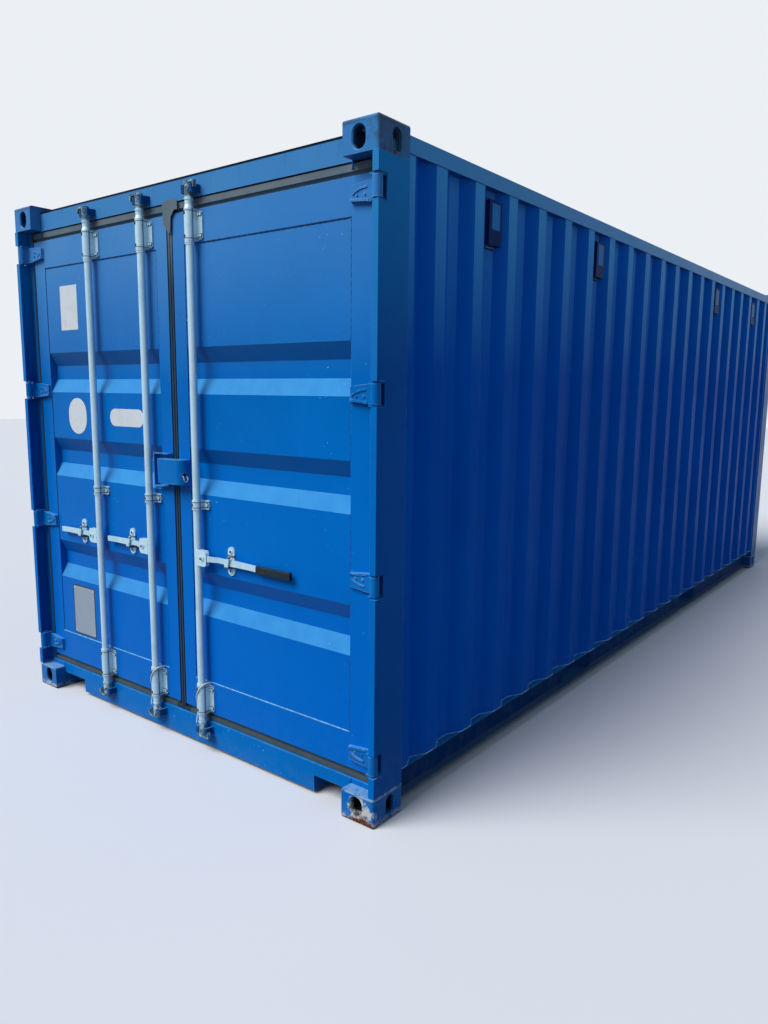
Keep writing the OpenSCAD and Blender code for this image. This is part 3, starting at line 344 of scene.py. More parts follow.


# Marks of use and weather, and painted light and shade, that belong to single nodes, after the
# places where they lie: hollows and folds as distances from the middle, the covers' middles as
# distances from their starts

CASTING_HOLLOW = {"X": (END_X - 0.163, END_X - 0.013), "Y": (SIDE_Y - 0.148, SIDE_Y - 0.013)}
HOLLOW_HEIGHTS = ((0.014, 0.104), (TOP_Z - 0.104, TOP_Z - 0.014))
NEAR_END_HOLE = (-END_X, -SIDE_Y + 0.071, 0.050)
NEAR_FOOT_CORNER = (-END_X - 0.001, -SIDE_Y + 0.061, -0.036)
STAINED_SIDE = (-END_X + 0.079, -SIDE_Y - 0.006, TOP_Z - 0.046)
BROWN_STAIN = (-END_X + 0.074, -SIDE_Y - 0.006, TOP_Z - 0.101)
TOP_CASTING_RIM = (TOP_Z - 0.014, TOP_Z + 0.009)
RAIL_FLANGE = (0.0, 0.040)
RAIL_TOP_EDGE = (RAIL_TOP - 0.006, RAIL_TOP + 0.003)
WALL_FOLD = (SIDE_Y - 0.029, SIDE_Y - 0.009)
COVER_STARTS = (-2.273, -1.162, 1.058, 2.169)
COVER_MIDDLE = (0.026, 0.086)
COVER_MIDDLE_HEIGHTS = (2.345, 2.442)
COVER_END_HEIGHTS = ((2.270, 2.276), (2.458, 2.464))


def hollow_shade(f):
    """Is 1 inside the hollow of a corner casting, which is painted dark as shade."""
    inside = None
    for name, (near, far) in CASTING_HOLLOW.items():
        size = f.size(f.axis(name))
        one = f.times(f.ramp(size, near - 0.002, near), f.ramp(size, far, far + 0.003, 1, 0))
        inside = one if inside is None else f.times(inside, one)
    low, high = [f.band("Z", *heights, 0.002) for heights in HOLLOW_HEIGHTS]
    return f.times(inside, f.most(low, high))


def lower_casting_marks(f, colour, rusted):
    """Primer and rust round the near end hole and along the foot of the low castings."""
    # Painted shade inside the casting's hollow
    colour = f.mix(hollow_shade(f), colour, lin(20, 44, 70))
    hole = f.spot(NEAR_END_HOLE, 0.064, 0.4)
    foot = f.times(f.band("Z", -0.01, 0.010, 0.022), f.ramp(f.noise(16, 5, 0.7), 0.36, 0.5))
    scraped = f.times(f.most(hole, foot), f.ramp(f.noise(46, 5, 0.7), 0.42, 0.5))
    colour = f.mix(f.times(scraped, 0.85), colour, PRIMER)
    corner = f.times(f.spot(NEAR_FOOT_CORNER, 0.080, 0.3), f.ramp(f.noise(34, 5, 0.7), 0.36, 0.46))
    line = f.times(f.band("Z", -0.01, 0.004, 0.010), f.ramp(f.noise(24, 6, 0.7), 0.42, 0.52))
    round_hole = f.times(hole, f.ramp(f.noise(60, 5, 0.7), 0.64, 0.70))
    for more in (corner, line, round_hole):
        rusted = f.most(rusted, more)
    seam = f.times(f.band("Z", CASTING_TOP - 0.005, CASTING_TOP - 0.001, 0.002),
                   f.ramp(f.noise(30, 5, 0.7), 0.35, 0.5, 0, 0.7))
    return f.mix(seam, colour, CHALK), rusted


def upper_casting_marks(f, colour, rusted):
    """Dark stains on the side face of the near top casting, and a dirty rim along the top."""
    # Painted shade inside the casting's hollow
    colour = f.mix(hollow_shade(f), colour, lin(26, 66, 104))
    side = f.times(f.spot(STAINED_SIDE, 0.095, 0.6),
                   f.ramp(f.noise(1.0, 5, 0.6, f.stretched(30, 30, 9)), 0.35, 0.6, 0.4, 0.85))
    colour = f.mix(side, colour, lin(70, 96, 118))
    brown = f.times(f.spot(BROWN_STAIN, 0.045, 0.7),
                    f.ramp(f.noise(1.0, 5, 0.6, f.stretched(60, 60, 10)), 0.45, 0.6, 0, 0.8))
    rim = f.times(f.band("Z", *TOP_CASTING_RIM, 0.010),
                  f.ramp(f.noise(15, 5, 0.7), 0.38, 0.58, 0.1, 0.7))
    colour = f.mix(rim, colour, lin(62, 70, 84))
    return colour, f.most(rusted, brown)


def header_marks(f, colour, rusted):
    """A dark line along the top edge, and thin runs under it."""
    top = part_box("door_header")[1].z
    line = f.times(f.band("Z", top - 0.008, top + 0.01, 0.003),
                   f.ramp(f.noise(4, 4, 0.6), 0.3, 0.5, 0.9, 1.0))
    runs = f.times(f.band("Z", top - 0.03, top, 0.05),
                   f.ramp(f.noise(1.0, 4, 0.6, f.stretched(24, 24, 2)), 0.6, 0.72, 0, 0.35))
    colour = f.mix(runs, colour, lin(40, 84, 128))
    return f.mix(line, colour, lin(8, 20, 36)), rusted


def door_marks(f, colour, rusted):
    """Stronger blue on the lower half, except on faces that look up: the other side of the painted sky reflection
    that pales the doors higher up.
    """
    lower = f.times(f.ramp(f.axis("Z"), 0.5, 1.6, 0.6, 0.0), f.ramp(f.facing("Z"), 0.2, 0.5, 1, 0))
    return f.mix(lower, colour, lin(0, 104, 206)), rusted


def rail_marks(f, colour, rusted):
    """Grey dust on the lower flange, and a pale rubbed line along the top edge."""
    foot = f.times(f.band("Z", *RAIL_FLANGE, 0.006),
                   f.ramp(f.noise(5, 6, 0.65), 0.3, 0.6, 0.3, 0.8))
    colour = f.mix(foot, colour, lin(96, 118, 140))
    top = f.times(f.band("Z", *RAIL_TOP_EDGE, 0.001),
                  f.ramp(f.noise(7, 5, 0.6), 0.35, 0.6, 0.2, 0.75))
    return f.mix(top, colour, lin(30, 132, 184)), rusted


def wall_marks(f, colour, rusted):
    """Painted sky light near the top, most on the outer flats of the folds."""
    flat = f.ramp(f.size(f.facing("Y")), 0.92, 0.97)
    flat = f.most(flat, 0.14)
    outer = f.ramp(f.size(f.axis("Y")), *WALL_FOLD, 0.5, 1.0)
    high = f.times(f.ramp(f.axis("Z"), 1.75, 2.45),
                   f.ramp(f.noise(1.0, 4, 0.6, f.stretched(8, 8, 0.4)), 0.3, 0.7, 0.75, 1.0))
    # Painted sky light on the outer flats high on the wall
    sky_lit_flats = f.times(high, f.times(flat, outer))
    return f.mix(sky_lit_flats, colour, lin(84, 180, 246)), rusted


def top_rail_marks(f, colour, rusted):
    """Painted sheen on the outer face of the top rails."""
    face = f.ramp(f.size(f.facing("Y")), 0.5, 0.8, 0, 0.65)
    return f.mix(face, colour, lin(106, 192, 248)), rusted


def vent_marks(f, colour, rusted):
    """A cover is painted dark as shade except in the middle of its outer face; pale marks on the end tabs of that
    face are painted highlights.
    """
    face = f.ramp(f.size(f.facing("Y")), 0.3, 0.6)
    across = None
    for start in COVER_STARTS:
        part = f.band("X", start + COVER_MIDDLE[0], start + COVER_MIDDLE[1], 0.004)
        across = part if across is None else f.most(across, part)
    middle = f.times(f.times(face, across), f.band("Z", *COVER_MIDDLE_HEIGHTS, 0.006))
    low, high = [f.band("Z", *heights, 0.002) for heights in COVER_END_HEIGHTS]
    # Painted highlights on the end tabs of the outer face
    ends = f.times(f.times(face, f.most(low, high)),
                   f.ramp(f.noise(40, 4, 0.7), 0.40, 0.55, 0, 0.8))
    # Painted shade on all of the cover but the middle of its outer face
    colour = f.mix(middle, lin(0, 44, 104), colour)
    return f.mix(ends, colour, CHALK), rusted


def post_marks(f, colour, rusted):
    """Painted light on the front face and on the sides near the top, and a pale line at the post's foot."""
    # Painted light: the front face, which looks towards the lamp, is a brighter blue that pales towards the top
    front = f.ramp(f.facing("X"), -0.5, -0.8, 0, 1)
    colour = f.mix(front, colour, f.mix(f.ramp(f.axis("Z"), 1.5, 2.4), lin(0, 106, 190),
                                        lin(46, 128, 188)))
    # Painted light: the side faces grow lighter towards the top
    side = f.times(f.ramp(f.size(f.facing("Y")), 0.5, 0.8), f.ramp(f.axis("Z"), 1.7, 2.45, 0, 0.7))
    colour = f.mix(side, colour, lin(30, 156, 224))
    foot = f.times(f.band("Z", CASTING_TOP - 0.003, CASTING_TOP + 0.004, 0.002),
                   f.ramp(f.noise(30, 5, 0.7), 0.35, 0.5, 0, 0.7))
    return f.mix(foot, colour, CHALK), rusted


def galvanised(name, pale=lin(194, 226, 240), dull=lin(162, 202, 220), crystal=0.4, dots=0.55,
               marks=None):
    """Hot-dip zinc: faint crystals, dull patches, dark specks, painted highlights on the edges."""
    f = Finish(name)
    colour = f.mix(f.ramp(f.cells(110), 0.2, 0.8, 0, crystal), pale, dull)
    patches = f.noise(5, 5, 0.6)
    colour = f.mix(f.ramp(patches, 0.5, 0.72, 0, 0.45), colour, lin(130, 172, 192))
    stains = f.ramp(f.noise(40, 7, 0.7), 0.66, 0.76, 0, dots)
    colour = f.mix(stains, colour, lin(58, 66, 68))
    # Painted highlights along the edges
    edge_highlight = f.times(f.edges(0.003), f.ramp(f.noise(30, 4), 0.35, 0.6, 0.3, 0.95))
    colour = f.mix(edge_highlight, colour, lin(226, 245, 252))
    if marks:
        colour = marks(f, colour)
    f.set(base_color=colour, metallic=0.25,
          roughness=f.ramp(patches, 0.3, 0.75, 0.34, 0.5))
    f.bump(f.noise(60, 5, 0.6), 0.0004, 0.3)
    return f.material


def rod_marks(f, colour):
    """Darker mottling and rust on the cams at both ends of the locking rods."""
    ends = f.most(f.ramp(f.axis("Z"), 0.13, 0.16, 1, 0), f.ramp(f.axis("Z"), 2.45, 2.47))
    colour = f.mix(f.times(ends, f.ramp(f.noise(48, 5, 0.7), 0.46, 0.58, 0.1, 0.9)), colour,
                   lin(36, 56, 74))
    rust = f.times(ends, f.ramp(f.noise(46, 5, 0.7), 0.6, 0.68, 0, 0.7))
    cams = f.most(f.ramp(f.axis("Z"), 2.462, 2.470), f.ramp(f.axis("Z"), 0.110, 0.100))
    mottled = f.times(cams, f.ramp(f.noise(45, 5, 0.7), 0.42, 0.56, 0.2, 0.85))
    return f.mix(mottled, f.mix(rust, colour, lin(96, 66, 50)), lin(24, 62, 92))


def bracket_marks(f, colour):
    """Painted shade: dark rings near the ends of the sleeves, and a dark line up their sides."""
    shade_lines = [f.band("Z", z - 0.0018, z + 0.0018, 0.0012)
             for low, high in BRACKET_SPANS for z in (low + 0.009, high - 0.009)]
    shade_lines.append(f.band("X", ROD_X - 0.0015, ROD_X + 0.0035, 0.001))
    for line in shade_lines:
        colour = f.mix(f.times(line, 0.75), colour, lin(52, 66, 76))
    return colour


def catch_marks(f, colour):
    """Painted shade on the catches just above and below the bars that lie in them."""
    for z in (HANDLE_Z - 0.026, HANDLE_Z + 0.022):
        line = f.times(f.band("Z", z - 0.0045, z + 0.0045, 0.002),
                       f.ramp(f.noise(60, 4, 0.7), 0.3, 0.5, 0.4, 0.9))
        colour = f.mix(line, colour, lin(44, 58, 68))
    return colour


def seal_rubber():
    """Weathered door seal: dusty lip, shaded where the doors meet, at the posts and at the foot."""
    f = Finish("seal_rubber")
    colour = f.mix(f.ramp(f.noise(5, 6), 0.35, 0.7), lin(82, 102, 114), lin(102, 116, 124))
    between = f.band("Y", -0.05, 0.05, 0.002)
    shaded = f.times(between, f.ramp(f.axis("Z"), 2.12, 2.36, 0.95, 0.0))
    across = f.size(f.axis("Y"))
    shaded = f.most(shaded, f.ramp(across, 1.140, 1.144, 0, 0.9))
    colour = f.mix(shaded, colour, lin(28, 52, 76))
    open_to_light = f.calc("SUBTRACT", 1.0, shaded)
    # Pale rubbed edges only where the seal is open to the light: wear and a painted highlight
    rubbed = f.times(f.edges(0.004), f.ramp(f.noise(12, 5, 0.6), 0.35, 0.6, 0.1, 0.4))
    colour = f.mix(f.times(rubbed, open_to_light), colour, lin(150, 150, 148))
    low = f.times(f.ramp(f.axis("Z"), 0.16, 0.3, 0.5, 0.15), open_to_light)
    dust = f.times(f.ramp(f.noise(30, 7, 0.7), 0.5, 0.7), low)
    colour = f.mix(dust, colour, lin(134, 130, 122))
    colour = f.mix(f.ramp(f.axis("Z"), 0.16, 0.22, 0.6, 0.0), colour, lin(30, 50, 60))
    f.set(base_color=colour, roughness=0.7, specular_ior_level=0.15)
    f.bump(f.noise(120, 5), 0.0005, 0.6)
    return f.material


def small_part(name, tone):
    """One tone with dirt in its hollows, for weld seams, washers and wire."""
    f = Finish(name)
    dirt = f.ramp(f.noise(34, 6, 0.7), 0.45, 0.65, 0, 0.5)
    f.set(base_color=f.mix(dirt, tone, GRIME), roughness=0.42, specular_ior_level=0.16)
    f.bump(f.noise(220, 3), 0.0006, 0.5)
    return f.material


def grip_rubber():
    """Dark sleeve of the handle, rubbed paler in places."""
    f = Finish("grip_rubber")
    wear = f.ramp(f.noise(50, 6, 0.7), 0.5, 0.75)
    f.set(base_color=f.mix(wear, lin(12, 30, 40), lin(30, 48, 58)), roughness=0.55,
          specular_ior_level=0.2)
    f.bump(f.noise(300, 3), 0.0003, 0.5)
    return f.material


def plywood():
    """Varnished floor boards with grain along the container and worn tracks."""
    f = Finish("floor_plywood")
    grain = f.noise(5, 9, 0.65, f.stretched(0.6, 14, 14))
    colour = f.mix(f.ramp(grain, 0.3, 0.7), lin(104, 68, 42), lin(150, 104, 66))
    worn = f.ramp(f.noise(2.2, 6, 0.6, f.stretched(0.3, 1, 1)), 0.5, 0.75, 0, 0.6)
    f.set(base_color=f.mix(worn, colour, lin(142, 122, 100)),
          roughness=f.ramp(grain, 0.3, 0.7, 0.42, 0.66))
    f.bump(grain, 0.001, 0.4)
    return f.material


def rope_fibre():
    """Pale rope with slanting turns in its bumps."""
    f = Finish("rope_fibre")
    turns = f.noise(260, 2, 0.5, f.stretched(1, 1, 2.2))
    f.set(base_color=f.mix(f.ramp(turns, 0.35, 0.65), lin(168, 170, 166), lin(226, 228, 224)),
          roughness=0.85)
    f.bump(turns, 0.0012, 0.8)
    return f.material


def plate_white():
    """A bare printed film or plate, a little dirty."""
    f = Finish("bare_plate")
    dirt = f.ramp(f.noise(22, 7, 0.7), 0.5, 0.8, 0, 0.35)
    f.set(base_color=f.mix(dirt, lin(206, 214, 220), lin(150, 158, 166)), roughness=0.42)
    f.bump(f.noise(80, 4), 0.0002, 0.4)
    return f.material


def plate_metal():
    """Brushed metal of the bare data plate."""
    f = Finish("bare_metal_plate")
    brush = f.noise(30, 5, 0.6, f.stretched(1, 4, 40))
    f.set(base_color=f.mix(f.ramp(brush, 0.3, 0.7), lin(128, 140, 156), lin(172, 184, 198)),
          metallic=0.6, roughness=f.ramp(brush, 0.3, 0.7, 0.34, 0.5))
    f.bump(brush, 0.0003, 0.4)
    return f.material


BLUE_PAINT = painted_steel("blue_paint", rust=0.2)
# The walls take a bluer copy of the paint, matched to their look in shade: painted shade colour
WALL_PAINT = painted_steel("wall_paint", BLUE_WALL_SHADE, lin(0, 88, 192), wear=0.0, gloss=0.012,
                           marks=wall_marks)
VENT_PAINT = painted_steel("vent_paint", lin(56, 150, 222), lin(30, 128, 204), wear=0.9, gloss=0.02,
                           marks=vent_marks)
DOOR_PAINT = painted_steel("door_paint", fade_and_sheen=0.6, top_dust_and_sheen_amount=0.72, specks=0.2, marks=door_marks)
# The left door takes more of the painted sky reflection high up and on faces that look up
LEFT_DOOR_PAINT = painted_steel("left_door_paint", fade_and_sheen=0.85, top_dust_and_sheen_amount=0.76, specks=0.2,
                                marks=door_marks)
# The keepers' dark blue is painted shade
KEEPER_SHADED_PAINT = painted_steel("keeper_paint", lin(0, 78, 138), lin(0, 60, 112), rust=0.6, wear=0.3,
                             specks=0.6)
HEADER_PAINT = painted_steel("header_paint", lin(10, 112, 178), lin(6, 102, 166), fade_and_sheen=0.65, rust=0.3,
                             marks=header_marks)
HINGE_PAINT = painted_steel("hinge_paint", lin(14, 114, 192), lin(4, 100, 178), fade_and_sheen=0.6, wear=0.9,
                            specks=0.6)
POST_PAINT = painted_steel("post_paint", BLUE_POST, lin(0, 86, 172), wear=0.35, gloss=0.04,
                           marks=post_marks)
# The bottom rails' dark tones are painted shade under the top flange
RAIL_PAINT = painted_steel("low_rail_paint", BLUE_RAIL_SHADE, lin(0, 52, 106), rust=0.5, wear=0.0,
                           top_dust_and_sheen_amount=0.2, gloss=0.012, marks=rail_marks)
TOP_RAIL_PAINT = painted_steel("top_rail_paint", lin(14, 108, 192), lin(6, 98, 178), gloss=0.04,
                               marks=top_rail_marks)
SILL_PAINT = painted_steel("sill_paint", lin(0, 112, 196), lin(0, 102, 182), rust=0.5, wear=0.5,
                           dirt_height=0.1, specks=1.0, top_dust_and_sheen_amount=0.2)
LOW_CASTING_PAINT = painted_steel("low_casting_paint", rust=0.6, wear=0.6, specks=0.5, top_dust_and_sheen_amount=0.25,
                                  marks=lower_casting_marks)
TOP_CASTING_PAINT = painted_steel("top_casting_paint", lin(14, 106, 174), lin(8, 94, 160), rust=0.4,
                                  fade_and_sheen=0.55, wear=0.35, marks=upper_casting_marks)
WELD = small_part("weld_seam", BLUE_DEEP)
PALE_WELD = small_part("pale_weld_seam", lin(120, 186, 226))
DARK_SEAM = small_part("dark_seam", lin(0, 62, 118))
ZINC = galvanised("galvanised_steel")
ROD_ZINC = galvanised("rod_zinc", crystal=0.2, dots=0.2, marks=rod_marks)
BRACKET_ZINC = galvanised("bracket_zinc", marks=bracket_marks)
CATCH_ZINC = galvanised("catch_zinc", lin(190, 222, 234), marks=catch_marks)
BAR_ZINC = galvanised("bar_zinc", lin(190, 224, 238), lin(160, 198, 216))
# Dark metal, also painted shade in holes and round pins and bolts
DARK_METAL_AND_SHADE = small_part("dark_metal_and_shade", lin(40, 54, 64))
SEAL = seal_rubber()
GRIP = grip_rubber()
BOARDS = plywood()
ROPE = rope_fibre()
FILM = plate_white()
PLATE = plate_metal()
PALE_WIRE = small_part("pale_wire", lin(210, 222, 226))

# A node takes its own finish if it has one here, and else the finish of its material slot

FINISHES = {
    "galvanised": ZINC,
    "seal_rubber": SEAL,
    "grip_rubber": GRIP,
    "plywood": BOARDS,
    "rope": ROPE,
    "blue_paint": BLUE_PAINT,
}
NODE_FINISHES = {
    "bottom_corner_castings": LOW_CASTING_PAINT,
    "top_corner_castings": TOP_CASTING_PAINT,
    "door_sill": SILL_PAINT,
    "door_header": HEADER_PAINT,
    "rear_post_left": POST_PAINT,
    "rear_post_right": POST_PAINT,
    "bottom_side_rail_left": RAIL_PAINT,
    "bottom_side_rail_right": RAIL_PAINT,
    "right_door_frame": DOOR_PAINT,
    "right_door_panel": DOOR_PAINT,
    "left_door_frame": LEFT_DOOR_PAINT,
    "left_door_panel": LEFT_DOOR_PAINT,
    "right_door_hinges": HINGE_PAINT,
    "left_door_hinges": HINGE_PAINT,
    "right_lock_box": HINGE_PAINT,
    "side_wall_right": WALL_PAINT,
    "side_wall_left": WALL_PAINT,
    "side_vents": VENT_PAINT,
    "top_side_rails": TOP_RAIL_PAINT,
    "left_lock_plate": HINGE_PAINT,
    "cam_keepers": KEEPER_SHADED_PAINT,
    "lock_rod_a": ROD_ZINC,
    "lock_rod_b": ROD_ZINC,
    "lock_rod_c": ROD_ZINC,
    "left_rod_brackets": BRACKET_ZINC,
    "right_rod_brackets": BRACKET_ZINC,
    "left_handle_catches": CATCH_ZINC,
    "right_handle_catch": CATCH_ZINC,
    "handle_a": BAR_ZINC,
    "handle_b": BAR_ZINC,
    "handle_c": BAR_ZINC,
}

for part in frame["record"]["subparts"]:
    finish = NODE_FINISHES.get(part["node"], FINISHES[part["material_slot"]])
    mesh = nodes[part["node"]].data
    mesh.materials.clear()
    mesh.materials.append(finish)


# Mesh helpers: every added object sits at the origin with its place in its vertices

def add_mesh(name, verts, faces, material, body, slot, smooth=False):
    """Adds a mesh that rides on a body of the frame."""
    mesh = bpy.data.meshes.new(name)
    mesh.from_pydata([tuple(v) for v in verts], [], faces)
    mesh.validate()
    mesh.update()
    if smooth:
        mesh.polygons.foreach_set("use_smooth", [True] * len(mesh.polygons))
    obj = bpy.data.objects.new(name, mesh)
    bpy.context.collection.objects.link(obj)
    obj.data.materials.append(material)
    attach(obj, body)


def merged(parts):
    """Joins (verts, faces) pairs into one."""
    verts, faces = [], []
    for v, f in parts:
        base = len(verts)
        verts += v
        faces += [[i + base for i in face] for face in f]
    return verts, faces


def bead(points, radius, sides=6, step=0.012):
    """A weld seam along a line of points: a thin tube that swells and thins in ripples."""
    line = [Vector(points[0])]
    for end in map(Vector, points[1:]):
        start = line[-1]
        n = max(1, round((end - start).length / step))
        line += [start.lerp(end, (i + 1) / n) for i in range(n)]
    verts, faces = [], []
    for i, at in enumerate(line):
        ahead = (line[min(i + 1, len(line) - 1)] - line[max(i - 1, 0)]).normalized()
        across = ahead.cross(Vector((0, 0, 1)) if abs(ahead.z) < 0.8 else Vector((0, 1, 0)))
        across.normalize()
        other = ahead.cross(across)
        r = radius * (0.86 + 0.14 * math.cos(i * 2.4) + 0.08 * random.uniform(-1, 1))
        for k in range(sides):
            a = 2 * math.pi * k / sides
            verts.append(at + r * (math.cos(a) * across + math.sin(a) * other))
    for i in range(len(line) - 1):
        for k in range(sides):
            a, b = i * sides + k, i * sides + (k + 1) % sides
            faces.append([a, b, b + sides, a + sides])
    faces.append(list(range(sides - 1, -1, -1)))
    faces.append([len(verts) - sides + k for k in range(sides)])
    return verts, faces


# Weld seams: round the door panels, along the walls, and on the door frame's header and sill

def panel_profile(node, y):
    """Points down a door panel's front at one Y: its folds, read off the CAD node."""
    mesh = nodes[node].data
    heights = {}
    for v in mesh.vertices:
        key = round(v.co.z, 4)
        heights[key] = min(heights.get(key, math.inf), v.co.x)
    kept = []
    for z, x in sorted(heights.items()):
        if not kept or z - kept[-1][1] > 0.006:
            kept.append((x, z))
    return [(x, y, z) for x, z in kept]


def door_seams(side, name, body):
    """Seams round one door panel: at its foot, at its top and down both sides."""
    low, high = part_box(name + "_door_panel")
    inner, outer = (high.y, low.y) if side < 0 else (low.y, high.y)
    x = low.x - 0.0008
    foot = [(x, outer, low.z), (x, inner, low.z)]
    top = [(x, outer, high.z), (x, inner, high.z)]
    add_mesh(name + "_door_foot_seam", *bead(foot, 0.0032), PALE_WELD, body, "blue_paint", True)
    add_mesh(name + "_door_top_seam", *bead(top, 0.0036), DARK_SEAM, body, "blue_paint", True)
    sides = [bead(panel_profile(name + "_door_panel", y), 0.003) for y in (inner, outer)]
    add_mesh(name + "_door_side_seams", *merged(sides), DARK_SEAM, body, "blue_paint", True)


door_seams(-1, "right", "right_door")
door_seams(1, "left", "left_door")


def wall_outline(name, side, foot):
    """Points along a side wall's outer face, read off the CAD node: X and distance in Y."""
    outline = {}
    for v in nodes[name].data.vertices:
        if v.co.z < foot + 0.001:
            key = round(v.co.x, 3)
            outline[key] = max(outline.get(key, -math.inf), side * v.co.y)
    line = []
    for x, y in sorted(outline.items()):
        if not line or x - line[-1][0] > 0.004:
            line.append((x, y))
    return line


WALL_END_Y = SIDE_Y - 0.0055


def wall_seams():
    """Seams where each side wall meets the rails and the posts, along the folds."""
    for name, side in (("right", -1), ("left", 1)):
        low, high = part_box("side_wall_" + name)
        line = wall_outline("side_wall_" + name, side, low.z)
        foot = [(x, side * (y + 0.0005), low.z + 0.0012) for x, y in line]
        head = [(x, side * (y + 0.0005), high.z - 0.0012) for x, y in line]
        add_mesh("wall_foot_seam_" + name, *bead(foot, 0.003, sides=5, step=0.016), PALE_WELD,
                 "container", "blue_paint", True)
        add_mesh("wall_head_seam_" + name, *bead(head, 0.003, sides=5, step=0.016), WELD,
                 "container", "blue_paint", True)
        y = side * WALL_END_Y
        ends = [bead([(x, y, low.z + 0.01), (x, y, high.z)], 0.003)
                for x in (low.x + 0.001, high.x - 0.001)]
        add_mesh("wall_end_seams_" + name, *merged(ends), WELD, "container", "blue_paint", True)


wall_seams()


FRAME_SEAM_Y = SIDE_Y - CASTING_WIDTH
SILL_SEAM_TOP = CASTING_TOP + 0.022


def frame_seams():
    """Upright seams on the header and the sill, in line with the castings' inner faces."""
    parts = []
    for name in ("door_header", "door_sill"):
        low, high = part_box(name)
        z0 = max(low.z, CASTING_TOP) if name == "door_sill" else low.z
        z1 = min(high.z, SILL_SEAM_TOP) if name == "door_sill" else high.z
        for side in (-1, 1):
            x, y = low.x - 0.001, side * FRAME_SEAM_Y
            parts.append(bead([(x, y, z0), (x, y, z1)], 0.0035))
    add_mesh("frame_seams", *merged(parts), WELD, "container", "blue_paint", True)


frame_seams()


def ring_on_lock_box():
    """The small wire loop that hangs from the hole in the lock box's side."""
    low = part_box("right_lock_box")[0]
    at = Vector((low.x + 0.0235, low.y - 0.003, 1.270))
    half, drop, steps = 0.0105, 0.014, 12
    points = [at + Vector((-0.0085, 0.008, 0.012)), at + Vector((-half, 0, 0.006))]
    for i in range(steps + 1):
        a = math.pi + math.pi * i / steps
        points.append(at + Vector((half * math.cos(a), -0.002, drop * math.sin(a))))
    points += [at + Vector((half, 0, 0.006)), at + Vector((0.0085, 0.008, 0.012))]
    add_mesh("lock_box_loop", *bead(points, 0.0026, sides=8, step=0.003), PALE_WIRE,
             "right_door", "galvanised", True)


ring_on_lock_box()


# Washers, eyelets and rivets of the locking gear, in dark metal that is also painted shade in holes and round pins
# and bolts

def disc(at, normal, radius, thick):
    """A short cylinder that stands on a point."""
    sides = 14
    at, normal = Vector(at), Vector(normal).normalized()
    across = normal.cross(Vector((0, 0, 1))).normalized()
    other = normal.cross(across)
    verts, faces = [], []
    for lift, r in ((0, radius), (thick, radius * 0.94)):
        for k in range(sides):
            a = 2 * math.pi * k / sides
            verts.append(at + lift * normal + r * (math.cos(a) * across + math.sin(a) * other))
    faces.append(list(range(sides - 1, -1, -1)))
    faces.append(list(range(sides, 2 * sides)))
    for k in range(sides):
        n = (k + 1) % sides
        faces.append([k, n, sides + n, sides + k])
    return verts, faces


FRONT = Vector((-1, 0, 0))
PIN_SIDE = Vector((-0.94, 0.34, 0)).normalized()
SLEEVE_RADIUS = 0.0205
PIN_INSET = 0.018
BRACKET_EDGE_Y = -0.052
BRACKET_FACE_X, CATCH_FACE_X, HUB_FACE_X = ROD_X + 0.025, ROD_X + 0.022, HANDLE_X - 0.020
CATCH_REACH, EYELET_Z = 0.190, 0.043
BOLT_ROWS = ((0.024, 0.112), (0.021,), (0.022, 0.108))


def bracket_washers(y):
    """Washers on one rod's brackets: the small middle one has one pin and one bolt."""
    washers = []
    for (low, high), rows in zip(BRACKET_SPANS, BOLT_ROWS):
        small = len(rows) == 1
        pins = [low + (high - low) / 2] if small else [low + PIN_INSET, high - PIN_INSET]
        columns, radius = ((0.013,), 0.0115) if small else ((0.0085, 0.022), 0.0092)
        for z in pins:
            at = Vector((ROD_X, y, z)) + PIN_SIDE * SLEEVE_RADIUS
            washers.append(disc(at, PIN_SIDE, 0.0072, 0.0030))
        for z in rows:
            for across in columns:
                at = (BRACKET_FACE_X, y + BRACKET_EDGE_Y + across, low + z)
                washers.append(disc(at, FRONT, radius, 0.0007))
    return washers


def gear_details(rod, door):
    """Washers, the eyelets of the handle's catch and the rivet of its hub, for one rod."""
    rod_y, hub_y = JOINT_AT[f"rod_{rod}_turn"][1], JOINT_AT[f"handle_{rod}_lift"][1]
    washers = bracket_washers(rod_y)
    add_mesh("bracket_washers_" + rod, *merged(washers), DARK_METAL_AND_SHADE, door, "galvanised")
    catch_y = rod_y + math.copysign(CATCH_REACH, hub_y - rod_y)
    eyelets = [disc((CATCH_FACE_X, catch_y, HANDLE_Z + z), FRONT, 0.0062, 0.0005)
               for z in (-EYELET_Z, EYELET_Z)]
    add_mesh("catch_eyelets_" + rod, *merged(eyelets), DARK_METAL_AND_SHADE, door, "galvanised")
    rivet = disc((HUB_FACE_X, hub_y, HANDLE_Z), FRONT, 0.006, 0.0005)
    add_mesh("hub_rivet_" + rod, *rivet, DARK_METAL_AND_SHADE, "grip_" + rod, "galvanised")


gear_details("a", "left_door")
gear_details("b", "left_door")
gear_details("c", "right_door")


# Bare plates on the left door, where the photograph has its stickers and data plate

PLATE_THICK = 0.0012
DATA_PLATE_AT = (0.833, 0.478)
DATA_PLATE_SIZE = (0.195, 0.262)


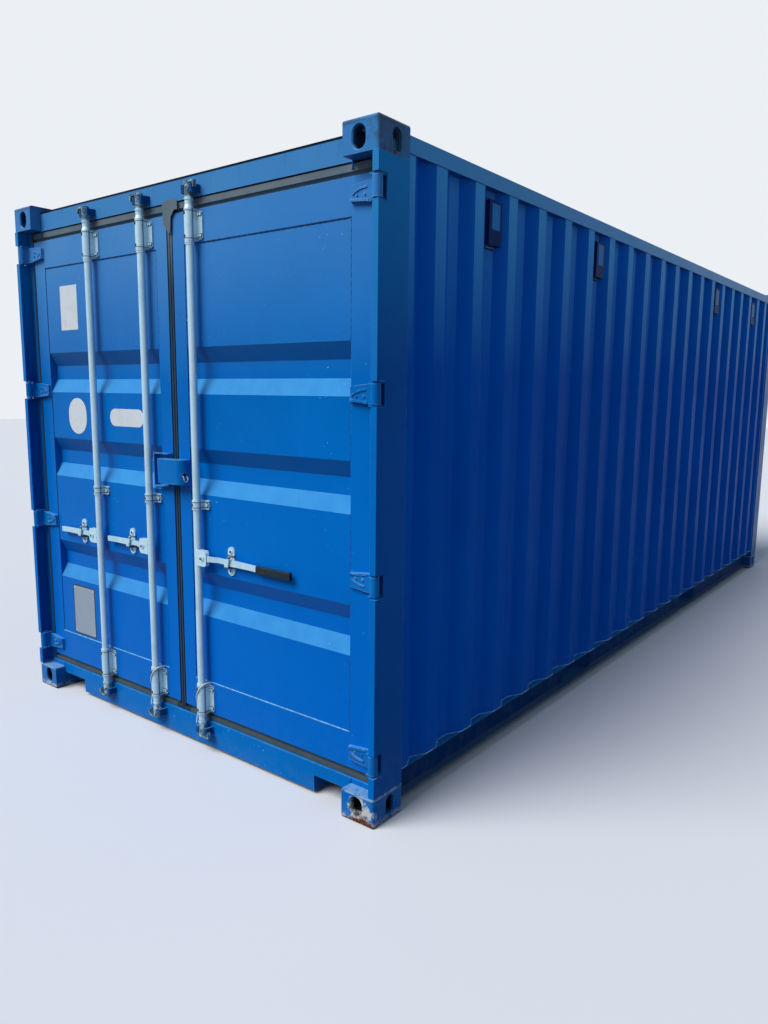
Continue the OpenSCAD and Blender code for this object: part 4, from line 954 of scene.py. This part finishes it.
def plate(name, y, z, w, h, radius, material, thick=PLATE_THICK):
    """A flat plate with round corners, facing the doors' way on the left door's panel."""
    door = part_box("left_door_panel")[0].x
    gap, taper, steps = 0.0001, 0.99, 6
    ring = []
    for quarter, (sy, sz) in enumerate(((1, 1), (-1, 1), (-1, -1), (1, -1))):
        cy, cz = y + sy * (w / 2 - radius), z + sz * (h / 2 - radius)
        for i in range(steps + 1):
            a = math.radians(90 * quarter + 90 * i / steps)
            ring.append((cy + radius * math.cos(a), cz + radius * math.sin(a)))
    n = len(ring)
    back = [Vector((door - gap, py, pz)) for py, pz in ring]
    front = [Vector((door - thick, y + (py - y) * taper, z + (pz - z) * taper)) for py, pz in ring]
    faces = [list(range(n, 2 * n)), list(range(n - 1, -1, -1))]
    faces += [[i, (i + 1) % n, n + (i + 1) % n, n + i] for i in range(n)]
    add_mesh(name, back + front, faces, material, "left_door", "galvanised")


def data_plate_rivets(y, z, w, h):
    """Four round rivet heads near the corners of the data plate."""
    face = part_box("left_door_panel")[0].x - PLATE_THICK
    inset, sides, height = 0.012, 10, 0.0022
    rings = ((0.0026, 0.0018), (0.0042, 0.0))
    parts = []
    for sy in (-1, 1):
        for sz in (-1, 1):
            cy, cz = y + sy * (w / 2 - inset), z + sz * (h / 2 - inset)
            verts, faces = [Vector((face - height, cy, cz))], []
            for r, x in rings:
                for k in range(sides):
                    a = 2 * math.pi * k / sides
                    verts.append(Vector((face - x, cy + r * math.cos(a), cz + r * math.sin(a))))
            foot = 1 + sides
            for k in range(sides):
                n = (k + 1) % sides
                faces += [[0, 1 + n, 1 + k], [1 + k, 1 + n, foot + n, foot + k]]
            faces.append([foot + k for k in range(sides)])
            parts.append((verts, faces))
    add_mesh("data_plate_rivets", *merged(parts), ZINC, "left_door", "galvanised", True)


data_plate_rivets(*DATA_PLATE_AT, *DATA_PLATE_SIZE)
plate("plate_upper", 0.841, 2.073, 0.155, 0.222, 0.004, FILM)
plate("plate_oval", 0.807, 1.526, 0.165, 0.185, 0.08, FILM)
plate("plate_oblong", 0.378, 1.528, 0.275, 0.085, 0.04, FILM)
plate("plate_data_rim", *DATA_PLATE_AT, 0.209, 0.276, 0.010, DARK_METAL_AND_SHADE, 0.0007)
plate("plate_data", *DATA_PLATE_AT, *DATA_PLATE_SIZE, 0.006, PLATE)


# Tie ropes: the CAD solids' route, in millimetres from the rod at the low bracket's top

ROPE_ROUTE = [(26, -33, 4), (18, -35, 11), (6, -33, 13), (-8, -26, 8), (-18, -18, -2),
              (-23, -11, -13), (-25, -2, -28), (-24, 8, -43), (-20, 16, -58), (-14, 21, -72),
              (-9, 23.5, -86), (-8, 24, -104), (-8, 24, -122), (-8, 24, -138), (-10, 25, -156),
              (-13, 26, -174), (-15, 25, -188)]
ROPE_D = 0.006


def tie_rope(name, node, body, rod):
    """A limp rope over the low bracket of a rod, in place of its CAD solid."""
    start = Vector((ROD_X, JOINT_AT[f"rod_{rod}_turn"][1], BRACKET_SPANS[0][1]))
    points = [start + Vector(p) * MM for p in ROPE_ROUTE]
    curve = bpy.data.curves.new(name, "CURVE")
    curve.dimensions = "3D"
    spline = curve.splines.new("POLY")
    spline.points.add(len(points) - 1)
    for point, at in zip(spline.points, points):
        point.co = (*at, 1)
    curve.bevel_depth = ROPE_D / 2
    curve.bevel_resolution = 4
    curve.use_fill_caps = True
    obj = bpy.data.objects.new(name, curve)
    bpy.context.collection.objects.link(obj)
    curve.materials.append(ROPE)
    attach(obj, body)
    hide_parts(node)


tie_rope("rope_on_left_door", "tie_rope_left", "left_door", "b")
tie_rope("rope_on_right_door", "tie_rope_right", "right_door", "c")


# Stage: pale floor, pale surroundings, soft light from the door side

def add_floor():
    """A wide floor, pale where it is seen and darker in the light that it throws back."""
    size = 40
    mesh = bpy.data.meshes.new("floor")
    mesh.from_pydata([(-size, -size, 0), (size, -size, 0), (size, size, 0), (-size, size, 0)],
                     [], [[0, 1, 2, 3]])
    floor = bpy.data.objects.new("floor", mesh)
    bpy.context.collection.objects.link(floor)
    f = Finish("floor_finish")
    seen = background_rays(f.tree)
    f.set(base_color=f.mix(seen, lin(110, 114, 120), lin(214, 217, 222)), roughness=0.9,
          specular_ior_level=0.1)
    mesh.materials.append(f.material)


def add_world():
    """Dim bluish light all round, with a paler backdrop in views and reflections."""
    world = bpy.data.worlds.new("surroundings")
    bpy.context.scene.world = world
    world.use_nodes = True
    tree = world.node_tree
    tree.nodes.clear()
    out = tree.nodes.new("ShaderNodeOutputWorld")
    light = tree.nodes.new("ShaderNodeBackground")
    light.inputs[0].default_value = lin(196, 220, 250)
    light.inputs[1].default_value = 0.34
    seen = tree.nodes.new("ShaderNodeBackground")
    seen.inputs[0].default_value = lin(236, 240, 245)
    seen.inputs[1].default_value = 1.0
    pick = tree.nodes.new("ShaderNodeMixShader")
    tree.links.new(background_rays(tree), pick.inputs[0])
    tree.links.new(light.outputs[0], pick.inputs[1])
    tree.links.new(seen.outputs[0], pick.inputs[2])
    tree.links.new(pick.outputs[0], out.inputs[0])


def add_lamp(name, direction, strength, angle, colour):
    """A soft distant lamp that shines from the given direction."""
    data = bpy.data.lights.new(name, "SUN")
    data.energy = strength
    data.angle = math.radians(angle)
    data.color = colour
    lamp = bpy.data.objects.new(name, data)
    lamp.rotation_mode = "QUATERNION"
    lamp.rotation_quaternion = Vector(direction).to_track_quat("Z", "Y")
    bpy.context.collection.objects.link(lamp)


add_floor()
add_world()
add_lamp("key", (-0.60, 0.26, 0.75), 3.5, 40, (1.0, 0.985, 0.96))

bpy.context.scene.view_settings.view_transform = "Standard"
